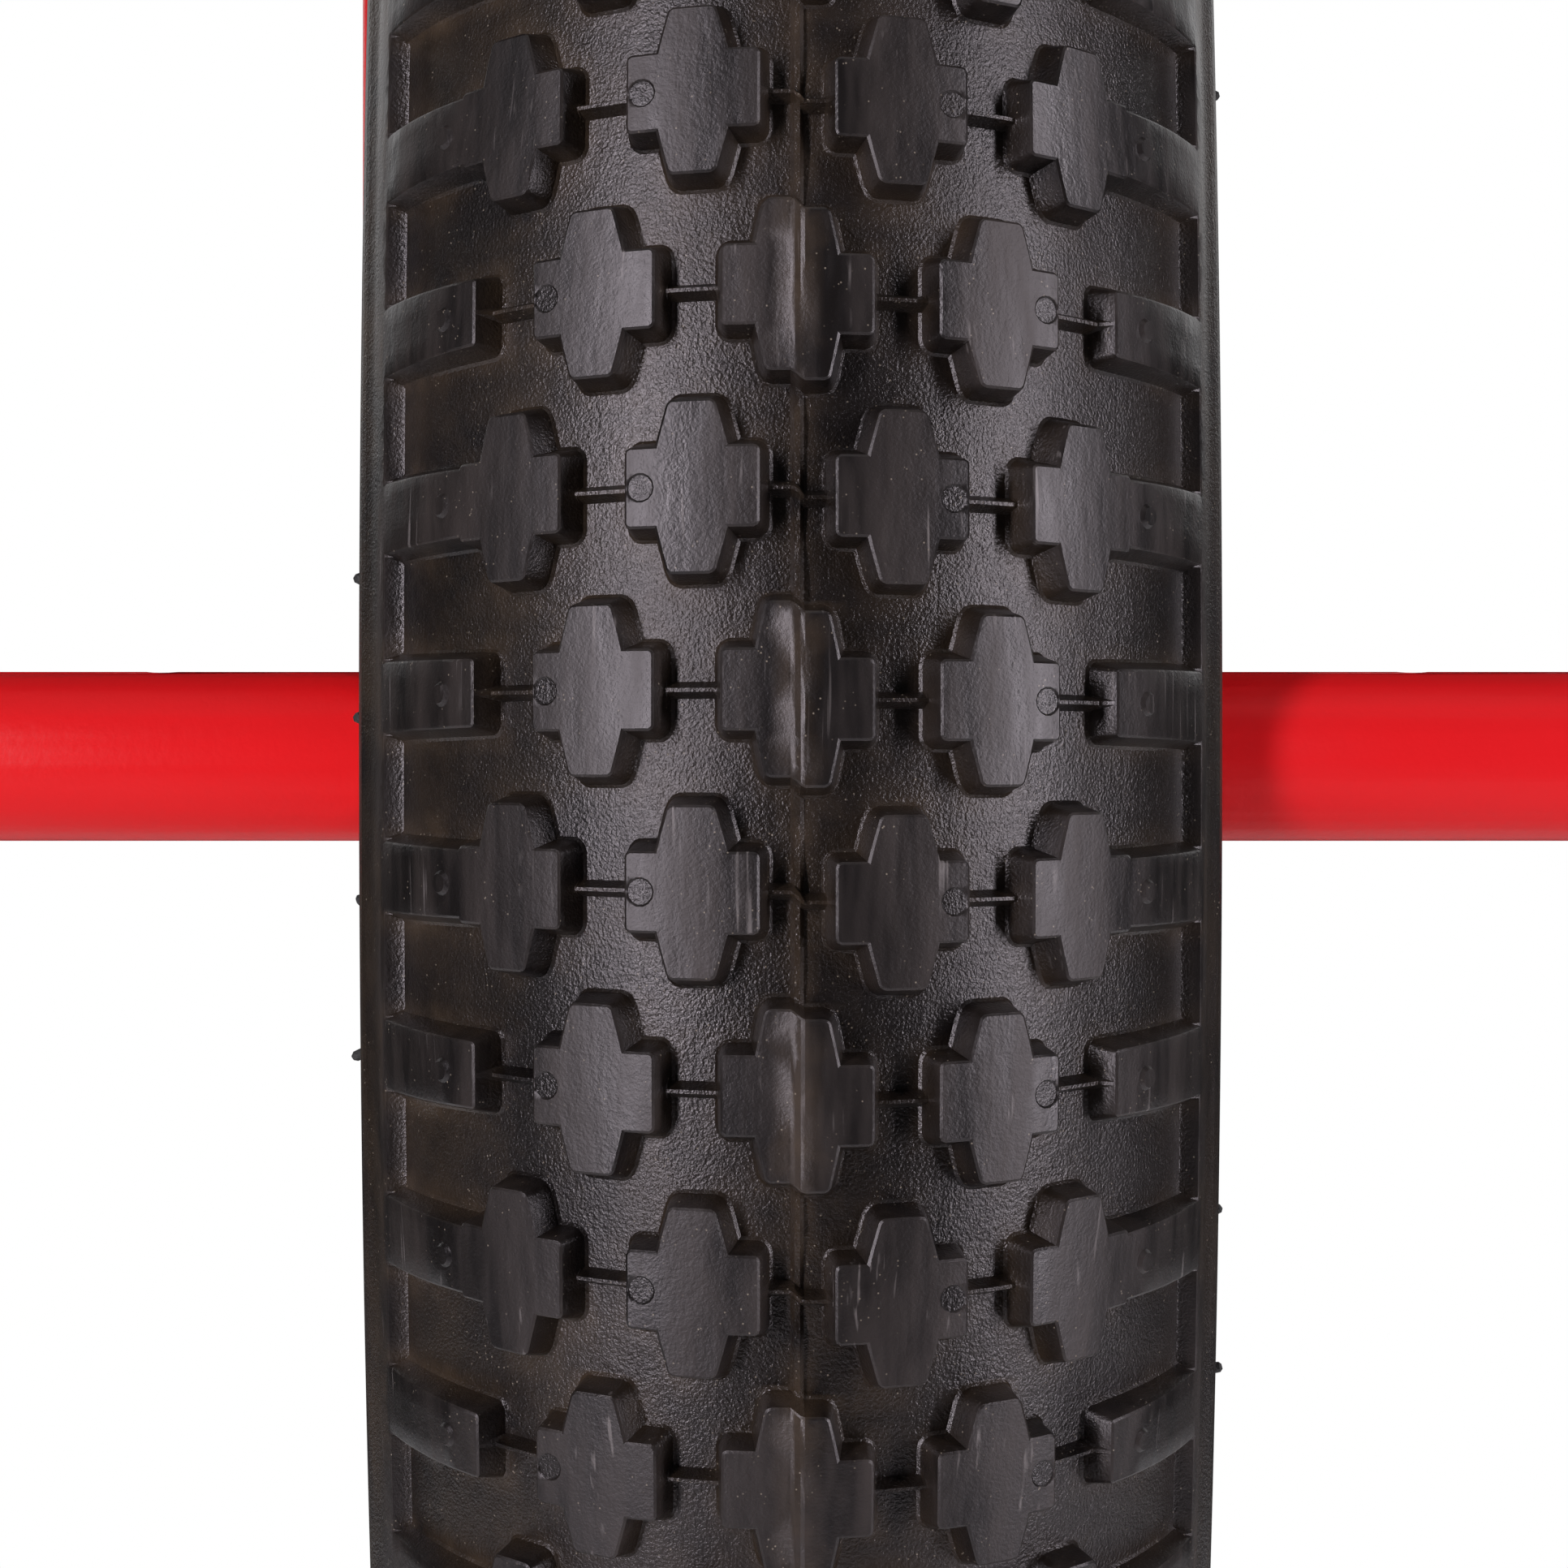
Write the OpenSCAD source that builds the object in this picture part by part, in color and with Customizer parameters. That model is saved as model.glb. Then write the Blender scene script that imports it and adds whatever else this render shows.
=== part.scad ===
// Chain-driven unicycle: a fat knobbly wheel on a fixed axle with a peg on each
// end, a fork and mast, cranks at a bottom bracket above the wheel, and a saddle.
// +Z up, +X to the rider's left side seen from the front, origin on the ground
// under the axle. The wheel turns about X. The front of the saddle faces -Y.

/* [Wheel] */
// Rim bead seat diameter
bead_d = 507; // [490:1:622]
// Tyre height from the bead seat to the knob tops
tyre_h = 57.5; // [52:0.5:70]
// Tyre width
tyre_w = 66; // [58:1:80]
// Tyre thickness at the crown, knobs included
tread_t = 5.5; // [4:0.1:8]
// Tyre thickness at the side
side_t = 4.5; // [3:0.1:6]
// Outside width of the rim
rim_w = 38; // [34:1:44]
// Rim height from the bead seat to its inner face
rim_depth = 16.5; // [15:0.5:24]
// Number of spokes, both sides together
spoke_n = 36; // [24:12:48]
// Spoke diameter
spoke_d = 2; // [1.8:0.1:2.6]
// Valve stem diameter
valve_d = 8; // [6:0.5:9]

/* [Hub and axle] */
// Axle diameter
axle_d = 14; // [10:1:15]
// Hub barrel outside diameter
hub_d = 34; // [32:1:44]
// Spoke flange outside diameter
flange_d = 54; // [50:1:66]
// Distance from the wheel's middle to the middle of a flange
flange_x = 28.5; // [24:0.5:30]
// Width of a hub bearing
bearing_w = 7; // [5:1:9]
// Outside diameter of a hub bearing
bearing_d = 28; // [26:1:30]

/* [Pegs] */
// Peg outside diameter
peg_d = 26; // [24:1:38]
// Peg length
peg_len = 107.5; // [90:0.5:120]
// Peg tube wall
peg_wall = 2.5; // [2:0.1:4]
// Diameter of the small hole in the top of a peg
peg_hole_d = 4; // [3:0.5:6]

/* [Drive] */
// Teeth on each of the two equal sprockets
teeth = 24; // [20:4:28]
// Chain pitch
chain_pitch = 12.7; // [12.7]
// Overall width of the chain
chain_w = 8; // [7:0.5:10]
// Gap between the tyre's side and the chain
chain_gap = 5; // [4:0.5:10]
// Crank length, centre to centre
crank_len = 145; // [110:1:170]

/* [Frame] */
// Fork leg size across the wheel
leg_w = 16; // [14:1:22]
// Fork leg size along the wheel
leg_d = 30; // [24:1:40]
// Fork leg wall
leg_wall = 1.8; // [1.5:0.1:3]
// Gap between the tyre and the fork crown
crown_gap = 18; // [12:1:30]
// Height of the fork crown
crown_h = 24; // [18:1:36]
// Outside diameter of the mast between crown and bottom bracket
mast_d = 38; // [32:1:45]
// Length of the bottom bracket shell
shell_len = 68; // [60:1:70]
// Length of the seat tube above the bottom bracket's axis
seat_tube_len = 290; // [220:1:340]

/* [Saddle] */
// Distance from the lower pedal's axis to the middle of the saddle
leg_reach = 770; // [700:1:860]
// Seat post diameter
post_d = 25.4; // [22.2:0.1:27.2]
// Length of seat post held in the seat tube
post_in = 130; // [110:1:180]
// Radius of the saddle's rocker curve
saddle_r = 240; // [200:5:320]
// Cushion thickness
cushion_t = 42; // [30:1:60]

/* [Hidden] */
$fn = 72;

run = 0.05;     // radial clearance of a running fit
slip = 0.2;     // clearance of parts that only pass each other
skin = 0.3;     // clearance of a soft part from its neighbour
over = 1;       // how far a cutting tool runs past a face

// Wheel sizes
bead_r = bead_d / 2;
wheel_r = bead_r + tyre_h;
axle_z = wheel_r;
hook_h = 6.5;                                   // rim flange above the bead seat
hook_r = bead_r + hook_h;
rim_wall = 2.5;
rim_half = rim_w / 2;
rim_in_half = rim_half - rim_wall;
rim_foot = bead_r - rim_depth;                  // inner face of the rim
well_r = bead_r - 3;                            // floor of the rim's well
well_half = rim_in_half - 7.5;
shelf_half = well_half + 3;
tape_t = 0.8;
tape_half = well_half - slip;
carcass_low = hook_r + 0.8;                     // tyre's lowest point beside the hook
carcass_wall = 3.2;                             // tyre thickness above the bead
bead_out = rim_in_half - slip;
bead_in = bead_out - 4.5;
tube_wall = 1;
valve_r = valve_d / 2;
valve_len = 29;                                 // stem from the well towards the hub
valve_top = well_r + tape_t + slip;
valve_end = valve_top - valve_len;
cap_over = 8;                                   // stem length inside the cap
spoke_phase = 180 / spoke_n;                    // puts the valve between two spokes
side_n = spoke_n / 2;
flange_t = 3;
flange_hole_r = flange_d / 2 - 4.5;
spoke_r = spoke_d / 2;
elbow_off = flange_t / 2 + spoke_r + slip;      // spoke axis beside the flange
rim_hole_x = 2;                                 // rim holes step to each side
nipple_r = spoke_r + 1;
nipple_len = 11;
rim_wall_mid = rim_foot + 1.25;
// An outer spoke leans inwards while it still runs over the flange.
edge_run = sqrt(pow(flange_d / 2, 2) - pow(flange_hole_r, 2));
lean = edge_run * (flange_x - rim_hole_x) / (rim_foot - flange_hole_r);
crossing = 3;                                   // each spoke crosses three others

// Widths along the axle
chain_x = tyre_w / 2 + chain_gap + chain_w / 2;
leg_gap = 2;
leg_x = chain_x + chain_w / 2 + leg_gap + leg_w / 2;
drop_t = 6;
drop_in = leg_x - drop_t;
drop_out = leg_x;
axle_r = axle_d / 2;
hub_r = hub_d / 2;
bore_r = bearing_d / 2;
boss_r = hub_r + 0.4;                           // seat of the sprocket on the hub
boss_in = chain_x - 4;                          // shoulder that the sprocket meets
boss_out = chain_x + 3;
hub_left = flange_x + flange_t / 2 + 1;
hub_right = drop_in - 1.5;
lock_r = boss_r - 0.9;                          // seat of the lockring
bearing_right = boss_in;                        // inner face of each bearing
bearing_left = hub_left - 1 - bearing_w;
washer_t = 1.5;
peg_in = drop_out + washer_t;
peg_out = peg_in + peg_len;
peg_r = peg_d / 2;
peg_end_t = 6;                                  // inner end wall of a peg
peg_bore_r = peg_r - peg_wall;
peg_pocket_r = peg_bore_r + 0.5;                // pocket round the axle nut
nut_t = 10;
nut_af = 17;
axle_end = peg_in + peg_end_t + nut_t + 2.5;
peg_pocket_out = axle_end + 2;
peg_hole_x = 96;                                // place of the small hole

// Drive sizes
pitch_r = chain_pitch / 2 / sin(180 / teeth);
roller_r = 3.85;
roller_len = 3.2;
seat_r = roller_r + slip;
tooth_h = 3.4;
sprocket_t = 2.8;
plate_half = 4.2;                               // half the height of a chain plate
plate_gap = 1.7;                                // inner face of the chain's plates
crank_gap = 20;
crank_end_r = 13;
run_links = ceil((wheel_r + crown_gap + crown_h + crank_gap + crank_len + crank_end_r)
    / chain_pitch);
chain_run = run_links * chain_pitch;
bb_z = axle_z + chain_run;

// Frame sizes
leg_bottom = axle_z + peg_r + 9;
crown_z = axle_z + wheel_r + crown_gap;
crown_top = crown_z + crown_h;
crown_half_x = leg_x + leg_w / 2;
crown_half_y = leg_d / 2 + 2;
mast_wall = 2;
shell_r = 20;
shell_bore = 17.5;
tongue_half = leg_d / 2 - 4;                    // dropout tongue inside the leg
tongue_len = 34;
drop_r = 17;
post_r = post_d / 2;
seat_tube_r = post_r + run + 3.2;
seat_tube_top = bb_z + seat_tube_len;
slot_w = 3;
slot_len = 34;

// Bottom bracket and crank sizes
spindle_r = 8.5;
cup_seat = 14;
cup_in = shell_len / 2 - 12;
cup_lip = 3;
bb_bearing_w = 8;
bb_bearing_in = cup_in + 2;
arm_t = 12;
arm_in = chain_x + 10;
arm_out = arm_in + arm_t;
square_w = 12.5;
bolt_recess = 4;
spindle_end = arm_out - bolt_recess - 0.5;
square_in = arm_in - 2;
crank_hub_r = 19;
spider_r = pitch_r - 12.5;
spider_in = chain_x + sprocket_t / 2 + slip / 2;
ring_bolt_pcr = spider_r - 8;
ring_bolt_r = 3;
crank_bolt_r = 4;

// Pedal sizes
pedal_thread_r = 7;
pedal_shaft_r = 6;
pedal_gap = 4;
collar_len = 4;
pedal_in = arm_out + collar_len + pedal_gap;
pedal_w = 92;
pedal_out = pedal_in + pedal_w;
pedal_l = 100;
pedal_t = 16;
pedal_rim = 11;
barrel_r = 12;
barrel_bore = 8;
bushing_len = 14;
cap_t = 2.5;
cap_plug = 5;
spindle_tip = pedal_out - cap_plug - 1.5;
pin_r = 1.8;
pin_out = 3.2;

// Seat clamp sizes
collar_h = 16;
collar_z = seat_tube_top - 10;
collar_t = 4.4;
ear_out = 7;
ear_y = seat_tube_r + 10;
clamp_bolt_r = 2.5;
pivot_x = ear_out + 7;
pivot_r = 2;
cam_r = 6.4;
eye_r = 4.2;
eye_half = 2.4;
cam_half = 6.8;
lever_in = seat_tube_r + collar_t + 4.5;
lever_t = 4;
lever_sweep = 88;

// Saddle sizes
saddle_mid = bb_z - crank_len + leg_reach;      // lowest point of the seat's top
saddle_cz = saddle_mid + saddle_r;
rock = 32;                                      // half angle of the rocker curve
base_r = saddle_r + cushion_t + slip;
base_t = 5;
bracket_r = base_r + base_t + run;
bracket_t = 4;
bracket_rock = 10;
bracket_w = 46;
post_top = saddle_cz - bracket_r - bracket_t / 2;
post_bottom = seat_tube_top - post_in;
stud_r = 3;
stud_rock = 6.5;
stud_x = 15;
bumper_step = 0.1;

red = [0.80, 0.05, 0.06];
black = [0.10, 0.09, 0.09];
steel = [0.70, 0.71, 0.73];
alloy = [0.80, 0.81, 0.82];
dark = [0.20, 0.20, 0.21];

// ---- shared shapes -------------------------------------------------------

// Turns a shape's own Z axis to +X.
module to_x() {
    rotate([0, 90, 0]) children();
}

module rod_x(r, x0, x1) {
    translate([x0, 0, 0]) to_x() cylinder(h = x1 - x0, r = r);
}

module ring_x(r_out, r_in, x0, x1) {
    difference() {
        rod_x(r_out, x0, x1);
        rod_x(r_in, x0 - over, x1 + over);
    }
}

module ring_z(r_out, r_in, z0, z1) {
    difference() {
        translate([0, 0, z0]) cylinder(h = z1 - z0, r = r_out);
        translate([0, 0, z0 - over]) cylinder(h = z1 - z0 + 2 * over, r = r_in);
    }
}

module at_axle() {
    translate([0, 0, axle_z]) children();
}

module at_bb() {
    translate([0, 0, bb_z]) children();
}

module both_sides() {
    children();
    mirror([1, 0, 0]) children();
}

// The same piece on the other crank: half a turn about Z.
module half_turn() {
    rotate([0, 0, 180]) children();
}

// Revolves a section drawn as [radius, width] about the axle.
module wheel_ring() {
    at_axle() to_x() rotate_extrude() children();
}

// A symmetric band of the wheel section, from radius r0 to r1.
module band(r0, r1, half) {
    translate([r0, -half]) square([r1 - r0, 2 * half]);
}

module hex(af, h) {
    cylinder(h = h, r = af / 2 / cos(30), $fn = 6);
}

module round_rect(w, h, r) {
    square([w - 2 * r, h], center = true);
    square([w, h - 2 * r], center = true);
    for (x = [-1, 1], y = [-1, 1])
        translate([x * (w / 2 - r), y * (h / 2 - r)]) circle(r = r);
}

// ---- wheel ---------------------------------------------------------------

// Tyre outline: a round crown on rounded lower corners.
module carcass(half, mid_r, low_r) {
    corner = min(half, mid_r - low_r);
    intersection() {
        translate([mid_r, 0]) circle(r = half);
        band(mid_r - slip, mid_r + half + over, half + over);
    }
    band(low_r + corner - slip, mid_r, half);
    band(low_r, mid_r, half - corner);
    for (s = [-1, 1])
        translate([low_r + corner, s * (half - corner)]) circle(r = corner);
}

module carcass_inside(shrink) {
    half = tyre_w / 2 - side_t;
    carcass(half - shrink, wheel_r - tread_t - half, carcass_low + carcass_wall + shrink);
}

module tyre() {
    half = tyre_w / 2;
    color(black) wheel_ring() difference() {
        union() {
            carcass(half, wheel_r - half, carcass_low);
            band(bead_r, carcass_low + 2, bead_out);
        }
        carcass_inside(0);
        band(bead_r - over, carcass_low + carcass_wall + over, bead_in);
    }
}

module inner_tube() {
    neck = bead_in - slip * 2;
    color(dark) difference() {
        wheel_ring() difference() {
            union() {
                carcass_inside(skin);
                band(bead_r + 2 * slip, carcass_low + carcass_wall + 2, neck);
                band(valve_top, bead_r + 4 * slip, tape_half - slip);
            }
            carcass_inside(skin + tube_wall);
            band(bead_r + 2 * slip + tube_wall, carcass_low + carcass_wall + 3,
                neck - tube_wall);
            band(valve_top + tube_wall, bead_r + 4 * slip + tube_wall,
                tape_half - slip - tube_wall);
        }
        at_valve(valve_top - over, valve_top + tube_wall + over) circle(r = valve_r / 2 + run);
    }
}

// A straight radial prism at the valve, from radius r0 to r1.
module at_valve(r0, r1) {
    at_axle() translate([0, r0, 0]) rotate([-90, 0, 0]) linear_extrude(r1 - r0) children();
}

// The spoke's two ends: side is -1 or 1, i counts the holes of one flange.
function hub_angle(side, i) =
    spoke_phase + (i + (side > 0 ? 0.5 : 0)) * 360 / side_n;
function rim_angle(side, i) =
    hub_angle(side, i) + (i % 2 == 0 ? 1 : -1) * crossing * 360 / side_n;
function flange_side(i) = i % 2 == 0 ? 1 : -1;
function polar_point(x, r, a) = [x, r * cos(a), r * sin(a)];
function elbow(i) = elbow_off + (flange_side(i) > 0 ? lean : 0);
function hub_point(side, i) =
    polar_point(side * (flange_x + flange_side(i) * elbow(i)), flange_hole_r,
        hub_angle(side, i));
function rim_point(side, i) =
    polar_point(side * rim_hole_x, rim_wall_mid, rim_angle(side, i));
function spoke_len(side, i) = norm(rim_point(side, i) - hub_point(side, i));

// Draws along +Z from the hub end of a spoke towards its rim end.
module along_spoke(side, i) {
    from = hub_point(side, i);
    dir = rim_point(side, i) - from;
    turn = atan2(dir[1], dir[0]);
    tilt = acos(dir[2] / norm(dir));
    at_axle() translate(from) rotate([0, tilt, turn]) children();
}

module spoke(side, i) {
    inward = -side * flange_side(i);
    reach = elbow(i) + flange_t / 2;
    along_spoke(side, i) cylinder(h = spoke_len(side, i), r = spoke_r);
    at_axle() translate(hub_point(side, i)) {
        sphere(r = spoke_r + 0.15);
        scale([inward, 1, 1]) {
            rod_x(spoke_r, 0, reach + slip);
            rod_x(2 * spoke_r, reach + slip, reach + slip + 1);
        }
    }
}

module spokes(side) {
    color(steel) for (i = [0 : side_n - 1]) spoke(side, i);
}

module spoke_nipples() {
    head = 1.8;
    color(alloy) for (side = [-1, 1], i = [0 : side_n - 1])
        along_spoke(side, i) translate([0, 0, spoke_len(side, i)]) difference() {
            union() {
                translate([0, 0, head - nipple_len]) cylinder(h = nipple_len, r = nipple_r);
                translate([0, 0, head]) cylinder(h = 2.2, r = nipple_r + 0.8);
            }
            translate([0, 0, -nipple_len]) cylinder(h = nipple_len + over, r = spoke_r + run);
        }
}

module rim_section() {
    difference() {
        polygon([[hook_r, -rim_half], [hook_r, rim_half],
            [bead_r - 4.5, rim_half], [rim_foot + 2, rim_half - 8],
            [rim_foot, rim_half - 10.5], [rim_foot, 10.5 - rim_half],
            [rim_foot + 2, 8 - rim_half], [bead_r - 4.5, -rim_half]]);
        polygon([[hook_r + over, -rim_in_half], [hook_r + over, rim_in_half],
            [bead_r, rim_in_half], [bead_r, shelf_half], [well_r, well_half],
            [well_r, -well_half], [bead_r, -shelf_half], [bead_r, -rim_in_half]]);
        polygon([[well_r - 1.7, 3.5 - rim_half], [well_r - 1.7, rim_half - 3.5],
            [rim_foot + 3.5, rim_half - 9.8], [rim_foot + 2.5, rim_half - 11.5],
            [rim_foot + 2.5, 11.5 - rim_half], [rim_foot + 3.5, 9.8 - rim_half]]);
    }
}

module rim() {
    color(alloy) difference() {
        wheel_ring() rim_section();
        for (side = [-1, 1], i = [0 : side_n - 1]) {
            along_spoke(side, i) translate([0, 0, spoke_len(side, i) - 6])
                cylinder(h = 11, r = nipple_r + slip);
            at_axle() rotate([rim_angle(side, i), 0, 0])
                translate([side * rim_hole_x, well_r - 4, 0]) rotate([-90, 0, 0])
                    cylinder(h = 4 + over, r = 4.2);
        }
        at_valve(rim_foot - over, well_r + over) circle(r = valve_r + slip);
    }
}

module rim_tape() {
    color(dark) difference() {
        wheel_ring() band(well_r + run, well_r + tape_t, tape_half);
        at_valve(well_r - over, well_r + tape_t + over) circle(r = valve_r + slip);
    }
}

module valve_stem() {
    color(alloy) difference() {
        union() {
            at_valve(valve_end, valve_top - slip / 2) circle(r = valve_r);
            at_valve(valve_top - slip, valve_top + tube_wall) circle(r = valve_r / 2);
        }
        at_valve(valve_end - over, valve_top + tube_wall + over) circle(r = valve_r / 4);
    }
}

module valve_nut() {
    color(alloy) difference() {
        at_axle() translate([0, rim_foot - slip / 2 - 4, 0]) rotate([-90, 0, 0]) hex(12, 4);
        at_valve(rim_foot - 6, rim_foot + over) circle(r = valve_r + run);
    }
}

module valve_cap() {
    color(dark) difference() {
        at_valve(valve_end - 4, valve_end + cap_over) circle(r = valve_r + 1.4);
        at_valve(valve_end - slip, valve_end + cap_over + over) circle(r = valve_r + run);
    }
}

module hub_shell() {
    color(alloy) at_axle() difference() {
        union() {
            rod_x(hub_r, -hub_left, boss_in);
            for (s = [-1, 1])
                rod_x(flange_d / 2, s * flange_x - flange_t / 2, s * flange_x + flange_t / 2);
            rod_x(hub_r + 2, flange_x, boss_in);
            rod_x(boss_r, boss_in - over, boss_out);
            rod_x(lock_r, boss_out - over, hub_right);
        }
        rod_x(bore_r - 1.5, -hub_left - over, hub_right + over);
        rod_x(bore_r, -hub_left - over, -bearing_left);
        rod_x(bore_r, bearing_right, hub_right + over);
        for (side = [-1, 1], i = [0 : side_n - 1])
            rotate([hub_angle(side, i), 0, 0])
                translate([side * flange_x - flange_t, flange_hole_r, 0])
                    rod_x(spoke_r + 0.15, 0, 2 * flange_t);
    }
}

module bearing(r_out, r_in, x0, w) {
    groove = (r_out + r_in) / 2;
    difference() {
        ring_x(r_out, r_in, x0, x0 + w);
        for (x = [x0 - over, x0 + w - 0.4])
            ring_x(groove + 1.4, groove - 1.4, x, x + over + 0.4);
    }
}

module hub_bearings() {
    color(steel) at_axle() {
        bearing(bore_r - run / 2, axle_r + run, bearing_right, bearing_w);
        bearing(bore_r - run / 2, axle_r + run, -bearing_left - bearing_w, bearing_w);
    }
}

// A toothed plate: round seats for the rollers and flared gaps above them.
module sprocket_plate() {
    difference() {
        circle(r = pitch_r + tooth_h);
        for (k = [0 : teeth - 1]) rotate(k * 360 / teeth) {
            translate([pitch_r, 0]) circle(r = seat_r);
            polygon([[pitch_r, -seat_r], [pitch_r + 6, -seat_r - 1.9],
                [pitch_r + 6, seat_r + 1.9], [pitch_r, seat_r]]);
        }
    }
}

module wheel_sprocket() {
    windows = 6;
    color(dark) at_axle() difference() {
        union() {
            translate([chain_x - sprocket_t / 2, 0, 0]) to_x()
                linear_extrude(sprocket_t) sprocket_plate();
            rod_x(boss_r + 7, boss_in + run, boss_out);
        }
        rod_x(boss_r + run, boss_in - over, boss_out + over);
        for (k = [0 : windows - 1]) rotate([(k + 0.5) * 360 / windows, 0, 0])
            translate([chain_x - sprocket_t, (boss_r + pitch_r) / 2 + 2, 0])
                rod_x(4.5, 0, 2 * sprocket_t);
    }
}

module sprocket_lockring() {
    notches = 6;
    color(steel) at_axle() difference() {
        ring_x(lock_r + 4.5, lock_r + run, boss_out + run, boss_out + 3);
        for (k = [0 : notches - 1]) rotate([k * 360 / notches, 0, 0])
            translate([boss_out, lock_r + 4.5, 0]) rod_x(1.6, 0, 4);
    }
}

// ---- axle and pegs -------------------------------------------------------

module axle() {
    color(steel) at_axle() rod_x(axle_r, -axle_end, axle_end);
}

module axle_sleeve() {
    color(alloy) at_axle()
        ring_x(axle_r + 2.2, axle_r + run, -bearing_left + skin, bearing_right - skin);
}

module axle_spacers() {
    color(steel) at_axle() {
        ring_x(axle_r + 3.5, axle_r + run, bearing_right + bearing_w + skin, drop_in);
        ring_x(axle_r + 3.5, axle_r + run, -drop_in, -bearing_left - bearing_w - skin);
    }
}

module peg_washers() {
    color(steel) at_axle() both_sides() ring_x(peg_r - 0.5, axle_r + run, drop_out, peg_in);
}

module peg() {
    at_axle() difference() {
        rod_x(peg_r, peg_in, peg_out);
        rod_x(axle_r + run, peg_in - over, peg_out);
        rod_x(peg_pocket_r, peg_in + peg_end_t, peg_pocket_out);
        rod_x(peg_bore_r, peg_pocket_out - over, peg_out + over);
        translate([peg_hole_x, 0, 0]) cylinder(h = peg_r + over, r = peg_hole_d / 2);
    }
}

module peg_left() {
    color(red) mirror([1, 0, 0]) peg();
}

module peg_right() {
    color(red) peg();
}

module axle_nuts() {
    x0 = peg_in + peg_end_t;
    color(steel) at_axle() both_sides() difference() {
        translate([x0, 0, 0]) to_x() hex(nut_af, nut_t);
        rod_x(axle_r + run, x0 - over, x0 + nut_t + over);
    }
}

// ---- frame ---------------------------------------------------------------

// Dropout: a tongue that goes up into the leg and an axle slot open below.
module dropout() {
    at_axle() translate([drop_in, 0, 0]) difference() {
        union() {
            rod_x(drop_r, 0, drop_t);
            translate([0, -tongue_half, 0])
                cube([drop_t, 2 * tongue_half, leg_bottom - axle_z + tongue_len]);
        }
        rod_x(axle_r + run, -over, drop_t + over);
        translate([-over, -axle_r - run, -drop_r - over])
            cube([drop_t + 2 * over, 2 * (axle_r + run), drop_r + over]);
    }
}

module dropout_left() {
    color(red) mirror([1, 0, 0]) dropout();
}

module dropout_right() {
    color(red) dropout();
}

module fork_leg() {
    h = crown_z - leg_bottom;
    translate([leg_x, 0, leg_bottom]) linear_extrude(h) difference() {
        round_rect(leg_w, leg_d, 4);
        round_rect(leg_w - 2 * leg_wall, leg_d - 2 * leg_wall, 4 - leg_wall);
    }
}

module fork_leg_left() {
    color(red) mirror([1, 0, 0]) fork_leg();
}

module fork_leg_right() {
    color(red) fork_leg();
}

module fork_crown() {
    color(red) translate([0, 0, crown_z]) linear_extrude(crown_h)
        round_rect(2 * crown_half_x, 2 * crown_half_y, 8);
}

// A tube that stands on one level and is coped to the bottom bracket shell.
module coped_tube(r_out, r_in, z0, z1) {
    difference() {
        ring_z(r_out, r_in, z0, z1);
        at_bb() rod_x(shell_r, -2 * shell_r, 2 * shell_r);
    }
}

module main_tube() {
    color(red) coped_tube(mast_d / 2, mast_d / 2 - mast_wall, crown_top, bb_z);
}

module bottom_bracket_shell() {
    color(red) at_bb() ring_x(shell_r, shell_bore, -shell_len / 2, shell_len / 2);
}

module seat_tube() {
    color(red) difference() {
        coped_tube(seat_tube_r, post_r + run, bb_z, seat_tube_top);
        translate([-slot_w / 2, 0, seat_tube_top - slot_len])
            cube([slot_w, seat_tube_r + over, slot_len + over]);
    }
}

module bb_cups() {
    lip_in = shell_len / 2;
    color(dark) at_bb() both_sides() difference() {
        union() {
            rod_x(shell_bore - run, cup_in, lip_in);
            rod_x(shell_r - 0.5, lip_in, lip_in + cup_lip);
        }
        rod_x(spindle_r + 1.5, cup_in - over, lip_in + cup_lip + over);
        rod_x(cup_seat, cup_in - over, bb_bearing_in + bb_bearing_w);
    }
}

module bb_bearings() {
    color(steel) at_bb() both_sides()
        bearing(cup_seat - run / 2, spindle_r + run, bb_bearing_in, bb_bearing_w);
}

module at_collar() {
    translate([0, 0, collar_z]) children();
}

module clamp_collar() {
    h = collar_h / 2;
    color(dark) at_collar() difference() {
        union() {
            translate([0, 0, -h]) cylinder(h = collar_h, r = seat_tube_r + collar_t);
            translate([-ear_out, seat_tube_r, -h])
                cube([2 * ear_out, ear_y + 6 - seat_tube_r, collar_h]);
        }
        translate([0, 0, -h - over]) cylinder(h = collar_h + 2 * over, r = seat_tube_r + run);
        translate([-slot_w / 2, 0, -h - over]) cube([slot_w, 2 * ear_y, collar_h + 2 * over]);
        translate([0, ear_y, 0])
            rod_x(clamp_bolt_r + 0.1, -ear_out - over, ear_out + over);
    }
}

module clamp_bolt() {
    color(steel) at_collar() translate([0, ear_y, 0]) difference() {
        union() {
            rod_x(clamp_bolt_r, -pivot_x, ear_out + 9);
            translate([-pivot_x, 0, -eye_half]) cylinder(h = 2 * eye_half, r = eye_r);
        }
        translate([-pivot_x, 0, -eye_r]) cylinder(h = 2 * eye_r, r = pivot_r + run);
    }
}

module clamp_nut() {
    color(dark) at_collar() translate([0, ear_y, 0])
        ring_x(6, clamp_bolt_r + run, ear_out + slip / 2, ear_out + 8);
}

module clamp_pivot_pin() {
    color(steel) at_collar() translate([-pivot_x, ear_y, -cam_half - 0.6])
        cylinder(h = 2 * cam_half + 1.2, r = pivot_r);
}

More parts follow.
